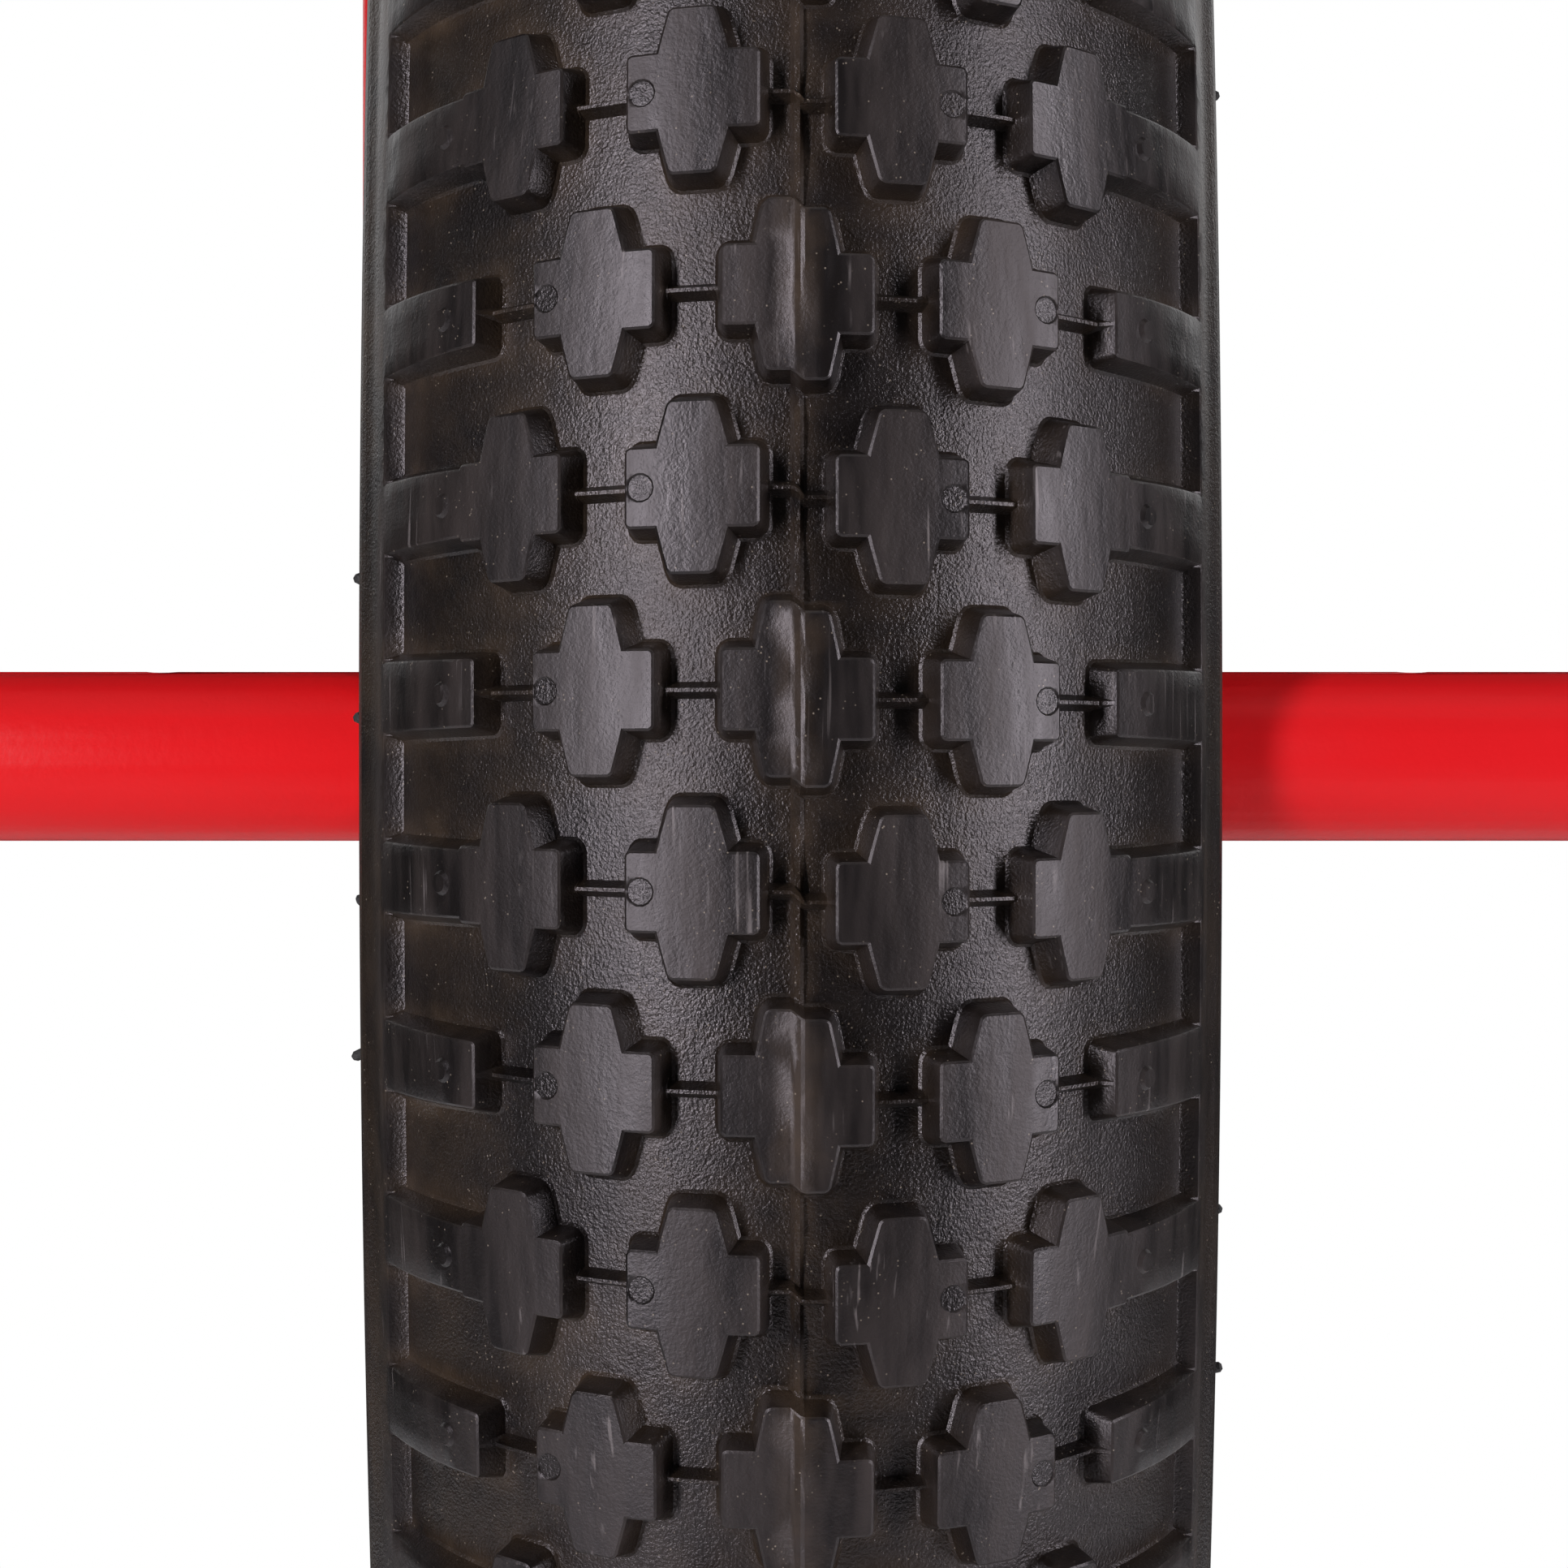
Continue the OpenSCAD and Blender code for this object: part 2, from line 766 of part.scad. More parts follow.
module clamp_lever() {
    start = atan2(ear_y, -pivot_x);
    arm_half = cam_half - 0.8;
    color(dark) at_collar() difference() {
        union() {
            translate([-pivot_x, ear_y, -cam_half]) cylinder(h = 2 * cam_half, r = cam_r);
            rotate([0, 0, start]) rotate_extrude(angle = lever_sweep)
                translate([lever_in, -arm_half]) square([lever_t, 2 * arm_half]);
        }
        translate([-pivot_x, ear_y, -cam_half - over])
            cylinder(h = 2 * cam_half + 2 * over, r = pivot_r + run);
        translate([-pivot_x, ear_y, 0])
            cube([2 * cam_r + 4, 2 * cam_r + 4, 2 * eye_half + 2 * slip], center = true);
    }
}

// ---- drive ---------------------------------------------------------------

// Places a shape drawn in the chain's plane, its own X pointing down.
module in_chain_plane(x) {
    at_axle() translate([x, 0, 0]) to_x() children();
}

module chain_loop(r) {
    circle(r = r);
    translate([-chain_run, 0]) circle(r = r);
    translate([-chain_run, -r]) square([chain_run, 2 * r]);
}

module chain_plates() {
    color(steel) both_plates() linear_extrude(chain_w / 2 - plate_gap) difference() {
        chain_loop(pitch_r + plate_half);
        chain_loop(pitch_r - plate_half);
    }
}

module both_plates() {
    in_chain_plane(chain_x + plate_gap) children();
    in_chain_plane(chain_x - chain_w / 2) children();
}

module roller() {
    translate([0, 0, -roller_len / 2]) cylinder(h = roller_len, r = roller_r);
}

module chain_rollers() {
    wrap = teeth / 2 - 1;
    color(steel) in_chain_plane(chain_x) {
        for (k = [0 : run_links], s = [-1, 1])
            translate([-k * chain_pitch, s * pitch_r, 0]) roller();
        for (k = [1 : wrap]) {
            a = 90 - k * 360 / teeth;
            translate([pitch_r * cos(a), pitch_r * sin(a), 0]) roller();
            translate([-chain_run - pitch_r * cos(a), pitch_r * sin(a), 0]) roller();
        }
    }
}

module crank_axle() {
    end_len = spindle_end - square_in;
    color(steel) at_bb() difference() {
        union() {
            rod_x(spindle_r, -square_in, square_in);
            for (x = [-spindle_end, square_in])
                translate([x, -square_w / 2, -square_w / 2]) cube([end_len, square_w, square_w]);
        }
        for (x = [-spindle_end - over, spindle_end - 16])
            rod_x(crank_bolt_r + run, x, x + 16 + over);
    }
}

module crank_arm() {
    hole = square_w + 2 * run;
    difference() {
        translate([arm_in, 0, 0]) to_x() linear_extrude(arm_t) {
            circle(r = crank_hub_r);
            translate([0, crank_len]) circle(r = crank_end_r);
            polygon([[-15, 0], [15, 0], [10, crank_len], [-10, crank_len]]);
        }
        translate([arm_in - over, -hole / 2, -hole / 2]) cube([arm_t + 2 * over, hole, hole]);
        rod_x(11, arm_out - bolt_recess, arm_out + over);
        translate([0, crank_len, 0]) rod_x(pedal_thread_r + run, arm_in - over, arm_out + over);
    }
}

module at_ring_bolts() {
    for (k = [0 : 3]) rotate([45 + 90 * k, 0, 0]) translate([0, ring_bolt_pcr, 0]) children();
}

module crank_left() {
    color(dark) at_bb() half_turn() crank_arm();
}

module crank_right() {
    color(dark) at_bb() {
        crank_arm();
        difference() {
            rod_x(spider_r, spider_in, arm_in);
            rod_x(spindle_r + 0.5, spider_in - over, arm_in + over);
            at_ring_bolts() rod_x(ring_bolt_r + run, spider_in - over, arm_in - 1.5);
        }
    }
}

module crank_bolts() {
    x0 = arm_out - bolt_recess;
    color(steel) at_bb() for (s = [0, 180]) rotate([0, 0, s]) {
        rod_x(crank_bolt_r, spindle_end - 13, x0 + slip);
        difference() {
            rod_x(9, x0, x0 + 4);
            translate([x0 + 1, 0, 0]) to_x() hex(8, 4);
        }
    }
}

module crank_sprocket() {
    color(dark) at_bb() translate([chain_x - sprocket_t / 2, 0, 0]) difference() {
        to_x() linear_extrude(sprocket_t) sprocket_plate();
        rod_x(spindle_r + 4, -over, sprocket_t + over);
        at_ring_bolts() rod_x(ring_bolt_r + run, -over, sprocket_t + over);
    }
}

module chainring_bolts() {
    x0 = chain_x - sprocket_t / 2;
    color(steel) at_bb() at_ring_bolts() difference() {
        union() {
            rod_x(ring_bolt_r, x0 - over, arm_in - 2.5);
            rod_x(ring_bolt_r + 1.8, x0 - 2.2, x0 - run);
        }
        translate([x0 - 3, 0, 0]) to_x() hex(4, 2.2);
    }
}

// ---- pedals --------------------------------------------------------------

// The right-hand crank's end; its twin is half a turn away.
module at_pedal() {
    at_bb() translate([0, crank_len, 0]) children();
}

module left_side() {
    at_bb() half_turn() translate([0, 0, -bb_z]) children();
}

module pedal_spindle() {
    at_pedal() {
        rod_x(pedal_thread_r, arm_in + 0.5, arm_out);
        translate([arm_out, 0, 0]) to_x() hex(15, collar_len);
        rod_x(pedal_shaft_r, arm_out, spindle_tip);
    }
}

module pedal_body() {
    inner_l = pedal_l / 2 - pedal_rim - barrel_r;
    mid_x = pedal_in + pedal_w / 2;
    at_pedal() difference() {
        union() {
            translate([mid_x, 0, -pedal_t / 2]) linear_extrude(pedal_t)
                round_rect(pedal_w, pedal_l, 9);
            rod_x(barrel_r, pedal_in, pedal_out);
        }
        rod_x(barrel_bore, pedal_in - over, pedal_out + over);
        for (x = [-1, 1], y = [-1, 1])
            translate([mid_x + x * (pedal_w - pedal_rim) / 4,
                y * (barrel_r + inner_l / 2), -pedal_t])
                linear_extrude(2 * pedal_t)
                    round_rect((pedal_w - 3 * pedal_rim) / 2, inner_l, 5);
        at_pins() cylinder(h = 2 * pedal_t, r = pin_r + run, center = true);
    }
}

module at_pins() {
    mid_x = pedal_in + pedal_w / 2;
    for (x = [-1, 0, 1], y = [-1, 1])
        translate([mid_x + x * (pedal_w - pedal_rim) / 2,
            y * (pedal_l - pedal_rim) / 2 - (x == 0 ? 0 : y * 4), 0])
            children();
}

module pedal_pins() {
    at_pedal() at_pins() cylinder(h = pedal_t + 2 * pin_out, r = pin_r, center = true);
}

module pedal_bushings() {
    at_pedal() for (x = [pedal_in, pedal_out - cap_plug - 2 - bushing_len])
        ring_x(barrel_bore - run, pedal_shaft_r + run, x, x + bushing_len);
}

module pedal_cap() {
    at_pedal() {
        rod_x(barrel_r - 1, pedal_out, pedal_out + cap_t);
        rod_x(barrel_bore - run, pedal_out - cap_plug, pedal_out);
    }
}

module pedal_spindle_left() {
    color(steel) left_side() pedal_spindle();
}

module pedal_spindle_right() {
    color(steel) pedal_spindle();
}

module pedal_body_left() {
    color(dark) left_side() pedal_body();
}

module pedal_body_right() {
    color(dark) pedal_body();
}

module pedal_bushings_left() {
    color(alloy) left_side() pedal_bushings();
}

module pedal_bushings_right() {
    color(alloy) pedal_bushings();
}

module pedal_pins_left() {
    color(steel) left_side() pedal_pins();
}

module pedal_pins_right() {
    color(steel) pedal_pins();
}

module pedal_cap_left() {
    color(red) left_side() pedal_cap();
}

module pedal_cap_right() {
    color(red) pedal_cap();
}

// ---- saddle --------------------------------------------------------------

// A bar of width w that follows the rocker curve between two angles.
module rocker(r0, r1, a0, a1, w) {
    translate([0, 0, saddle_cz]) to_x() rotate([0, 0, a0])
        rotate_extrude(angle = a1 - a0) translate([r0, -w / 2]) square([r1 - r0, w]);
}

// Points down from the rocker's centre, turned a degrees towards the rear.
module on_rocker(a, x) {
    translate([0, 0, saddle_cz]) rotate([a, 0, 0]) translate([x, 0, 0]) children();
}

// Saddle seen from above: slim nose at the front, wide at the back.
module saddle_plan(inset) {
    half_widths = [[-160, 36], [-95, 44], [-20, 41], [45, 62], [105, 76], [160, 62]];
    right = [for (p = half_widths) [p[1] - inset, p[0]]];
    left = [for (i = [len(half_widths) - 1 : -1 : 0])
        [inset - half_widths[i][1], half_widths[i][0]]];
    translate([0, 0, saddle_mid - 2 * cushion_t]) linear_extrude(4 * cushion_t)
        polygon(concat(right, left));
}

module saddle_cushion() {
    color(black) intersection() {
        rocker(saddle_r, saddle_r + cushion_t, -rock, rock, 180);
        saddle_plan(0);
    }
}

module saddle_base() {
    color(dark) difference() {
        intersection() {
            rocker(base_r, base_r + base_t, -rock, rock, 180);
            saddle_plan(4);
        }
        at_studs() translate([0, 0, -base_r - base_t - over])
            cylinder(h = base_t - 2 + over, r = stud_r + run);
    }
}

module at_studs() {
    for (a = [-stud_rock, stud_rock], x = [-stud_x, stud_x]) on_rocker(a, x) children();
}

module saddle_bolts() {
    nut_z = -bracket_r - bracket_t - run;
    color(steel) at_studs() {
        translate([0, 0, nut_z - 7]) cylinder(h = 7 + bracket_t + base_t - 2, r = stud_r);
        translate([0, 0, nut_z - 5]) hex(10, 5);
    }
}

module seat_post() {
    wall = 2.2;
    color(steel) difference() {
        union() {
            translate([0, 0, post_bottom]) cylinder(h = post_top - post_bottom, r = post_r);
            rocker(bracket_r, bracket_r + bracket_t, -bracket_rock, bracket_rock, bracket_w);
        }
        translate([0, 0, post_bottom - over])
            cylinder(h = post_top - post_bottom - 10, r = post_r - wall);
        at_studs() translate([0, 0, -bracket_r - bracket_t - over])
            cylinder(h = bracket_t + 2 * over, r = stud_r + slip);
    }
}

module bumper(a0, a1, w) {
    rocker(saddle_r + 12, base_r + base_t + 3, a0, a1, w);
}

module front_bumper() {
    color(black) bumper(-rock - 5.5, -rock - bumper_step, 60);
}

module rear_bumper() {
    color(black) bumper(rock + bumper_step, rock + 4, 112);
}

tyre();
inner_tube();
rim();
rim_tape();
spokes(-1);  // spokes_left
spokes(1);  // spokes_right
spoke_nipples();
hub_shell();
hub_bearings();
wheel_sprocket();
sprocket_lockring();
valve_stem();
valve_nut();
valve_cap();
axle();
axle_sleeve();
axle_spacers();
peg_washers();
peg_left();
peg_right();
axle_nuts();
dropout_left();
dropout_right();
fork_leg_left();
fork_leg_right();
fork_crown();
main_tube();
bottom_bracket_shell();
bb_cups();
bb_bearings();
seat_tube();
clamp_collar();
clamp_bolt();
clamp_nut();
clamp_pivot_pin();
clamp_lever();
chain_plates();
chain_rollers();
crank_axle();
crank_left();
crank_right();
crank_bolts();
crank_sprocket();
chainring_bolts();
pedal_spindle_left();
pedal_spindle_right();
pedal_body_left();
pedal_body_right();
pedal_bushings_left();
pedal_bushings_right();
pedal_pins_left();
pedal_pins_right();
pedal_cap_left();
pedal_cap_right();
seat_post();
saddle_base();
saddle_cushion();
front_bumper();
rear_bumper();
saddle_bolts();
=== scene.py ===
"""Chain-driven unicycle: the looks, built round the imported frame.

The frame's axes are +Z up, and the wheel turns about X. The saddle's front and the
camera are on the -Y side. Lengths are in metres, except in the tyre's tread, which
is drawn in millimetres on a flat strip and then wrapped round the tyre.
"""

import math

import bmesh
import bpy
import numpy as np
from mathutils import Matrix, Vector
from mathutils.bvhtree import BVHTree
from mathutils.geometry import delaunay_2d_cdt


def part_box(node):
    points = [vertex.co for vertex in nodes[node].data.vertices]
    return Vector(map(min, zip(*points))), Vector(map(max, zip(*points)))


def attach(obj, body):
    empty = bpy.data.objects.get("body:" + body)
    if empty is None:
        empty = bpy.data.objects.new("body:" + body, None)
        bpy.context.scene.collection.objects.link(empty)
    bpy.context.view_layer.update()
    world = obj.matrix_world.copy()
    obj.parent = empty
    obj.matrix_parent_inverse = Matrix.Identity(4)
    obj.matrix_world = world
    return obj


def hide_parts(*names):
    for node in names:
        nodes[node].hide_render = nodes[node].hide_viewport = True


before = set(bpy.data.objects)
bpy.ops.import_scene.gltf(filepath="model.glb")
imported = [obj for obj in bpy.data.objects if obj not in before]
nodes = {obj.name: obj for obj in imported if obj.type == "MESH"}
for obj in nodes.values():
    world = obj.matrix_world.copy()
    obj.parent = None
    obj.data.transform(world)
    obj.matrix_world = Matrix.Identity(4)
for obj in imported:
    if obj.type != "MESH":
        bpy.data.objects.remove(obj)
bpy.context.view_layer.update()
scene = bpy.context.scene
MM = 0.001


# ---- camera ---------------------------------------------------------------

tyre_low, tyre_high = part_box("tyre")
WHEEL_R = (tyre_high.z - tyre_low.z) / 2
AXLE_Z = (tyre_high.z + tyre_low.z) / 2
TYRE_HALF = tyre_high.x

CAMERA_X = -0.0005
CAMERA_AWAY = 0.2467  # from the tread's nearest point
CAMERA_DROP = 0.0042  # below the axle's height

camera = bpy.data.objects.new("camera", bpy.data.cameras.new("camera"))
scene.collection.objects.link(camera)
camera.location = (CAMERA_X, tyre_low.y - CAMERA_AWAY, AXLE_Z - CAMERA_DROP)
camera.rotation_euler = (math.radians(90), 0, 0)
camera.data.lens = 83.2
camera.data.sensor_width = 36
camera.data.clip_start = 0.01
camera.data.clip_end = 100
scene.camera = camera


# ---- materials ------------------------------------------------------------


class Look:
    """A node material. Its calls make one node each and return an output socket."""

    def __init__(self, name, colour, roughness, metallic=0.0):
        self.material = bpy.data.materials.new(name)
        self.material.use_nodes = True
        self.tree = self.material.node_tree
        self.shader = self.tree.nodes["Principled BSDF"]
        self.place = self.tree.nodes.new("ShaderNodeTexCoord").outputs["Object"]
        self.set("Base Color", (*colour, 1))
        self.set("Roughness", roughness)
        self.set("Metallic", metallic)

    def set(self, name, value):
        """Gives a shader input a fixed value, or links it to a socket."""
        self._feed(self.shader.inputs[name], value)

    def _feed(self, socket, value):
        if isinstance(value, bpy.types.NodeSocket):
            self.tree.links.new(value, socket)
        else:
            socket.default_value = value

    def _node(self, kind, output, feeds, **settings):
        node = self.tree.nodes.new(kind)
        for name, value in settings.items():
            setattr(node, name, value)
        for name, value in feeds.items():
            self._feed(node.inputs[name], value)
        return node.outputs[output]

    def stretch(self, x, y, z):
        """Object coordinates drawn out along an axis, for brushed or scratched marks."""
        feeds = {"Vector": self.place, "Scale": (x, y, z)}
        return self._node("ShaderNodeMapping", "Vector", feeds)

    def noise(self, scale, detail=3.0, rough=0.55, place=None):
        """Cloudy noise; scale is in waves per metre."""
        place = place or self.place
        feeds = {"Vector": place, "Scale": scale, "Detail": detail, "Roughness": rough}
        return self._node("ShaderNodeTexNoise", "Fac", feeds)

    def cells(self, scale, feature="F1"):
        """Distance to the nearest of scattered cell centres, or to the cells' edges."""
        feeds = {"Vector": self.place, "Scale": scale}
        return self._node("ShaderNodeTexVoronoi", "Distance", feeds, feature=feature)

    def attribute(self, name):
        """A number stored on the mesh's points."""
        return self._node("ShaderNodeAttribute", "Fac", {}, attribute_name=name)

    def span(self, value, low, high, to_low=0.0, to_high=1.0):
        """Maps low..high of a value to to_low..to_high, held at both ends."""
        feeds = {
            "Value": value,
            "From Min": low,
            "From Max": high,
            "To Min": to_low,
            "To Max": to_high,
        }
        return self._node("ShaderNodeMapRange", "Result", feeds)

    def length(self):
        """Distance from the object's origin."""
        feeds = {"Vector": self.place}
        return self._node("ShaderNodeVectorMath", "Value", feeds, operation="LENGTH")

    def times(self, a, b):
        return self._node("ShaderNodeMath", "Value", {0: a, 1: b}, operation="MULTIPLY")

    def mix(self, factor, a, b):
        """Mixes two numbers."""
        return self._node("ShaderNodeMix", "Result", {"Factor": factor, "A": a, "B": b})

    def blend(self, factor, a, b):
        """Mixes two colours, each a socket or red, green and blue."""
        node = self.tree.nodes.new("ShaderNodeMix")
        node.data_type = "RGBA"
        self._feed(node.inputs["Factor"], factor)
        first, second, result = node.inputs[6], node.inputs[7], node.outputs[2]
        for socket, value in ((first, a), (second, b)):
            self._feed(socket, value if isinstance(value, bpy.types.NodeSocket) else (*value, 1))
        return result

    def bump(self, height, distance, under=None):
        """Raises a height by a distance in metres, over another bump if one is given."""
        feeds = {"Height": height, "Distance": distance, "Strength": 1.0}
        if under is not None:
            feeds["Normal"] = under
        normal = self._node("ShaderNodeBump", "Normal", feeds)
        self.set("Normal", normal)
        return normal


def make_tread_rubber():
    """Moulded rubber: shiny pebbled floors, duller scuffed knob tops, brown dust in
    the toes and a lighter brown line along the seam."""
    look = Look("tread_rubber", (0.02, 0.017, 0.016), 0.4)
    top = look.attribute("raised")
    dust = look.attribute("dust")
    patches = look.noise(34, 4, 0.6)
    streaks = look.noise(260, 3, 0.7, look.stretch(1, 1, 0.16))

    clean, cloudy = (0.002, 0.0013, 0.0011), (0.008, 0.0052, 0.0042)
    floor = look.blend(look.span(patches, 0.35, 0.7), clean, cloudy)
    dark, pale = (0.004, 0.0028, 0.0025), (0.024, 0.0175, 0.015)
    scuffed = look.blend(look.span(streaks, 0.4, 0.75), dark, pale)
    scratches = look.span(look.noise(1300, 2, 0.8, look.stretch(1, 1, 0.035)), 0.63, 0.72)
    worn = look.span(look.noise(110, 3), 0.5, 0.6)
    scratches = look.times(look.times(scratches, worn), top)
    scuffed = look.blend(scratches, scuffed, (0.115, 0.10, 0.098))
    colour = look.blend(top, floor, scuffed)
    dirt = look.span(look.noise(90, 5, 0.65), 0.38, 0.72)
    colour = look.blend(look.times(dust, dirt), colour, (0.055, 0.036, 0.022))
    specks = look.span(look.cells(1900), 0.06, 0.16, 1.0, 0.0)
    some = look.span(look.noise(420, 1), 0.52, 0.62)
    colour = look.blend(look.times(specks, some), colour, (0.20, 0.165, 0.13))
    look.set("Base Color", colour)

    gloss_floor = look.span(patches, 0.3, 0.7, 0.26, 0.4)
    gloss_top = look.span(streaks, 0.3, 0.7, 0.32, 0.52)
    look.set("Roughness", look.mix(top, gloss_floor, gloss_top))
    look.set("Specular Tint", (1.0, 0.92, 0.96, 1))
    look.set("Specular IOR Level", 0.55)

    pebbles = look.times(look.noise(4200, 2, 0.6), look.span(top, 0.0, 1.0, 1.0, 0.35))
    fine = look.bump(pebbles, 0.00008)
    waves = look.bump(look.noise(700, 2, 0.5), 0.00004, fine)
    look.bump(look.times(streaks, top), 0.00007, waves)
    return look.material


def make_paint():
    """Glossy red enamel with a faint orange peel and small dull marks."""
    look = Look("red_enamel", (0.74, 0.008, 0.012), 0.3)
    tone = look.span(look.noise(9, 3), 0.3, 0.7)
    look.set("Base Color", look.blend(tone, (0.72, 0.006, 0.0085), (0.66, 0.008, 0.012)))
    marks = look.span(look.noise(700, 4, 0.75), 0.62, 0.75, 0.38, 0.5)
    look.set("Roughness", marks)
    look.set("Specular IOR Level", 0.2)
    look.set("Coat Weight", 0.03)
    look.set("Coat Roughness", 0.12)
    look.bump(look.noise(620, 2), 0.00006)
    return look.material


def make_metal(name, colour, roughness, grain=(1, 1, 1), wear=0.1):
    """Bare or anodised metal with fine drawn marks and cloudy changes of shine."""
    look = Look(name, colour, roughness, 1.0)
    clouds = look.noise(45, 4)
    lines = look.noise(900, 2, 0.6, look.stretch(*grain))
    darker = tuple(0.72 * c for c in colour)
    look.set("Base Color", look.blend(look.span(clouds, 0.35, 0.7), colour, darker))
    look.set("Roughness", look.span(lines, 0.3, 0.7, roughness - wear / 2, roughness + wear))
    look.bump(lines, 0.00003)
    return look.material


def make_oiled_steel():
    """Chain and sprocket steel with brown oil held in its hollows."""
    look = Look("oiled_steel", (0.34, 0.31, 0.28), 0.34, 1.0)
    film = look.span(look.noise(160, 5, 0.7), 0.42, 0.66)
    look.set("Base Color", look.blend(film, (0.40, 0.38, 0.36), (0.11, 0.08, 0.055)))
    look.set("Roughness", look.span(film, 0, 1, 0.25, 0.55))
    look.bump(look.noise(1100, 3), 0.00004)
    return look.material


def make_plastic(name, colour, roughness, grain_size=0.0001):
    """Moulded plastic with a fine spark-eroded grain and slight fading."""
    look = Look(name, colour, roughness)
    faded = tuple(c * 1.5 + 0.006 for c in colour)
    look.set("Base Color", look.blend(look.span(look.noise(22, 4), 0.4, 0.75), colour, faded))
    look.set("Roughness", look.span(look.noise(500, 3), 0.3, 0.7, roughness - 0.06, roughness + 0.1))
    look.bump(look.noise(1700, 2, 0.6), grain_size)
    return look.material


def make_cover():
    """Saddle cover: coated cloth with a leather-like grain and a soft sheen."""
    look = Look("saddle_cover", (0.022, 0.022, 0.024), 0.55)
    cells = look.cells(620, feature="DISTANCE_TO_EDGE")
    creases = look.noise(130, 4, 0.6)
    faded = look.span(creases, 0.4, 0.7)
    look.set("Base Color", look.blend(faded, (0.018, 0.018, 0.020), (0.034, 0.033, 0.035)))
    look.set("Roughness", look.span(look.noise(60, 3), 0.3, 0.7, 0.46, 0.66))
    look.set("Sheen Weight", 0.25)
    look.set("Sheen Roughness", 0.4)
    grain = look.bump(look.span(cells, 0.0, 0.22), 0.00022)
    look.bump(creases, 0.0006, grain)
    return look.material


def make_thread():
    """Twisted sewing thread."""
    look = Look("red_thread", (0.55, 0.02, 0.02), 0.7)
    twist = look.noise(2600, 2, 0.5, look.stretch(1, 0.35, 1))
    look.set("Base Color", look.blend(twist, (0.60, 0.03, 0.03), (0.36, 0.01, 0.01)))
    look.bump(twist, 0.0001)
    return look.material


paint = make_paint()
alloy = make_metal("satin_alloy", (0.72, 0.73, 0.74), 0.3, (0.06, 1, 1))
black_alloy = make_metal("black_anodised", (0.045, 0.045, 0.05), 0.36, (1, 0.06, 1), 0.14)
steel = make_metal("bright_steel", (0.56, 0.56, 0.57), 0.26, (0.06, 1, 1))
chrome = make_metal("chrome", (0.30, 0.31, 0.33), 0.15, (1, 1, 0.08), 0.08)
oiled = make_oiled_steel()
black_plastic = make_plastic("black_plastic", (0.022, 0.022, 0.024), 0.48)
red_plastic = make_plastic("red_plastic", (0.62, 0.012, 0.016), 0.34, 0.00006)
rubber = make_plastic("tube_rubber", (0.018, 0.017, 0.017), 0.62, 0.00016)


# ---- pieces ---------------------------------------------------------------


def add_piece(name, mesh, body, material, replaced=()):
    """Adds a mesh to the scene as a piece that rides on a body."""
    piece = bpy.data.objects.new(name, mesh)
    scene.collection.objects.link(piece)
    mesh.materials.append(material)
    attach(piece, body)
    if replaced:
        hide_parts(*replaced)
    return piece


def mesh_of(name, points, faces):
    """A checked mesh from points and faces."""
    mesh = bpy.data.meshes.new(name)
    mesh.from_pydata([tuple(p) for p in points], [], [tuple(f) for f in faces])
    mesh.validate()
    return mesh


def face_outwards(mesh):
    """Turns a closed mesh's faces so that they all look out."""
    form = bmesh.new()
    form.from_mesh(mesh)
    bmesh.ops.recalc_face_normals(form, faces=form.faces)
    form.to_mesh(mesh)
    form.free()


def smooth(mesh, angle):
    """Smooth shading, with creases where faces meet at more than an angle in degrees."""
    mesh.shade_smooth()
    mesh.set_sharp_from_angle(angle=math.radians(angle))


def slab_faces(rows, cols):
    """Faces of a closed slab: a grid of points, then the same grid on its other side."""
    size = rows * cols
    faces = []
    for i in range(rows - 1):
        for j in range(cols - 1):
            a, b = i * cols + j, (i + 1) * cols + j
            faces.append((a, a + 1, b + 1, b))
            faces.append((size + a, size + b, size + b + 1, size + a + 1))
    for i in range(rows - 1):
        for j in (0, cols - 1):
            a, b = i * cols + j, (i + 1) * cols + j
            faces.append((a, b, size + b, size + a))
    for j in range(cols - 1):
        for i in (0, rows - 1):
            a = i * cols + j
            faces.append((a, a + 1, size + a + 1, size + a))
    return faces


def ease(i, count):
    """Runs from -1 to 1 over a count of steps, closer together at both ends."""
    return math.sin(math.pi / 2 * (2 * i / (count - 1) - 1))


class Solid:
    """Gathers closed shapes into one mesh."""

    def __init__(self):
        self.points = []
        self.faces = []

    def add(self, points, faces):
        first = len(self.points)
        self.points.extend(points)
        self.faces.extend([first + i for i in face] for face in faces)

    def tube(self, path, radii, sides=12, up=Vector((0, 0, 1)), closed=False):
        """Sweeps a round section along points, with a radius for each."""
        count = len(path)
        points = []
        for i, centre in enumerate(path):
            before = path[(i - 1) % count] if closed or i else centre
            after = path[(i + 1) % count] if closed or i < count - 1 else centre
            along = (after - before).normalized()
            across = along.cross(up).normalized()
            over = across.cross(along)
            for k in range(sides):
                turn = 2 * math.pi * k / sides
                away = math.cos(turn) * across + math.sin(turn) * over
                points.append(centre + radii[i] * away)
        faces = []
        for i in range(count if closed else count - 1):
            a, b = i * sides, (i + 1) % count * sides
            faces.extend(
                (a + k, a + (k + 1) % sides, b + (k + 1) % sides, b + k) for k in range(sides)
            )
        if not closed:
            faces.append(list(range(sides))[::-1])
            faces.append([(count - 1) * sides + k for k in range(sides)])
        self.add(points, faces)

    def mesh(self, name, angle=35):
        made = mesh_of(name, self.points, self.faces)
        face_outwards(made)
        smooth(made, angle)
        return made


# ---- tyre tread -----------------------------------------------------------

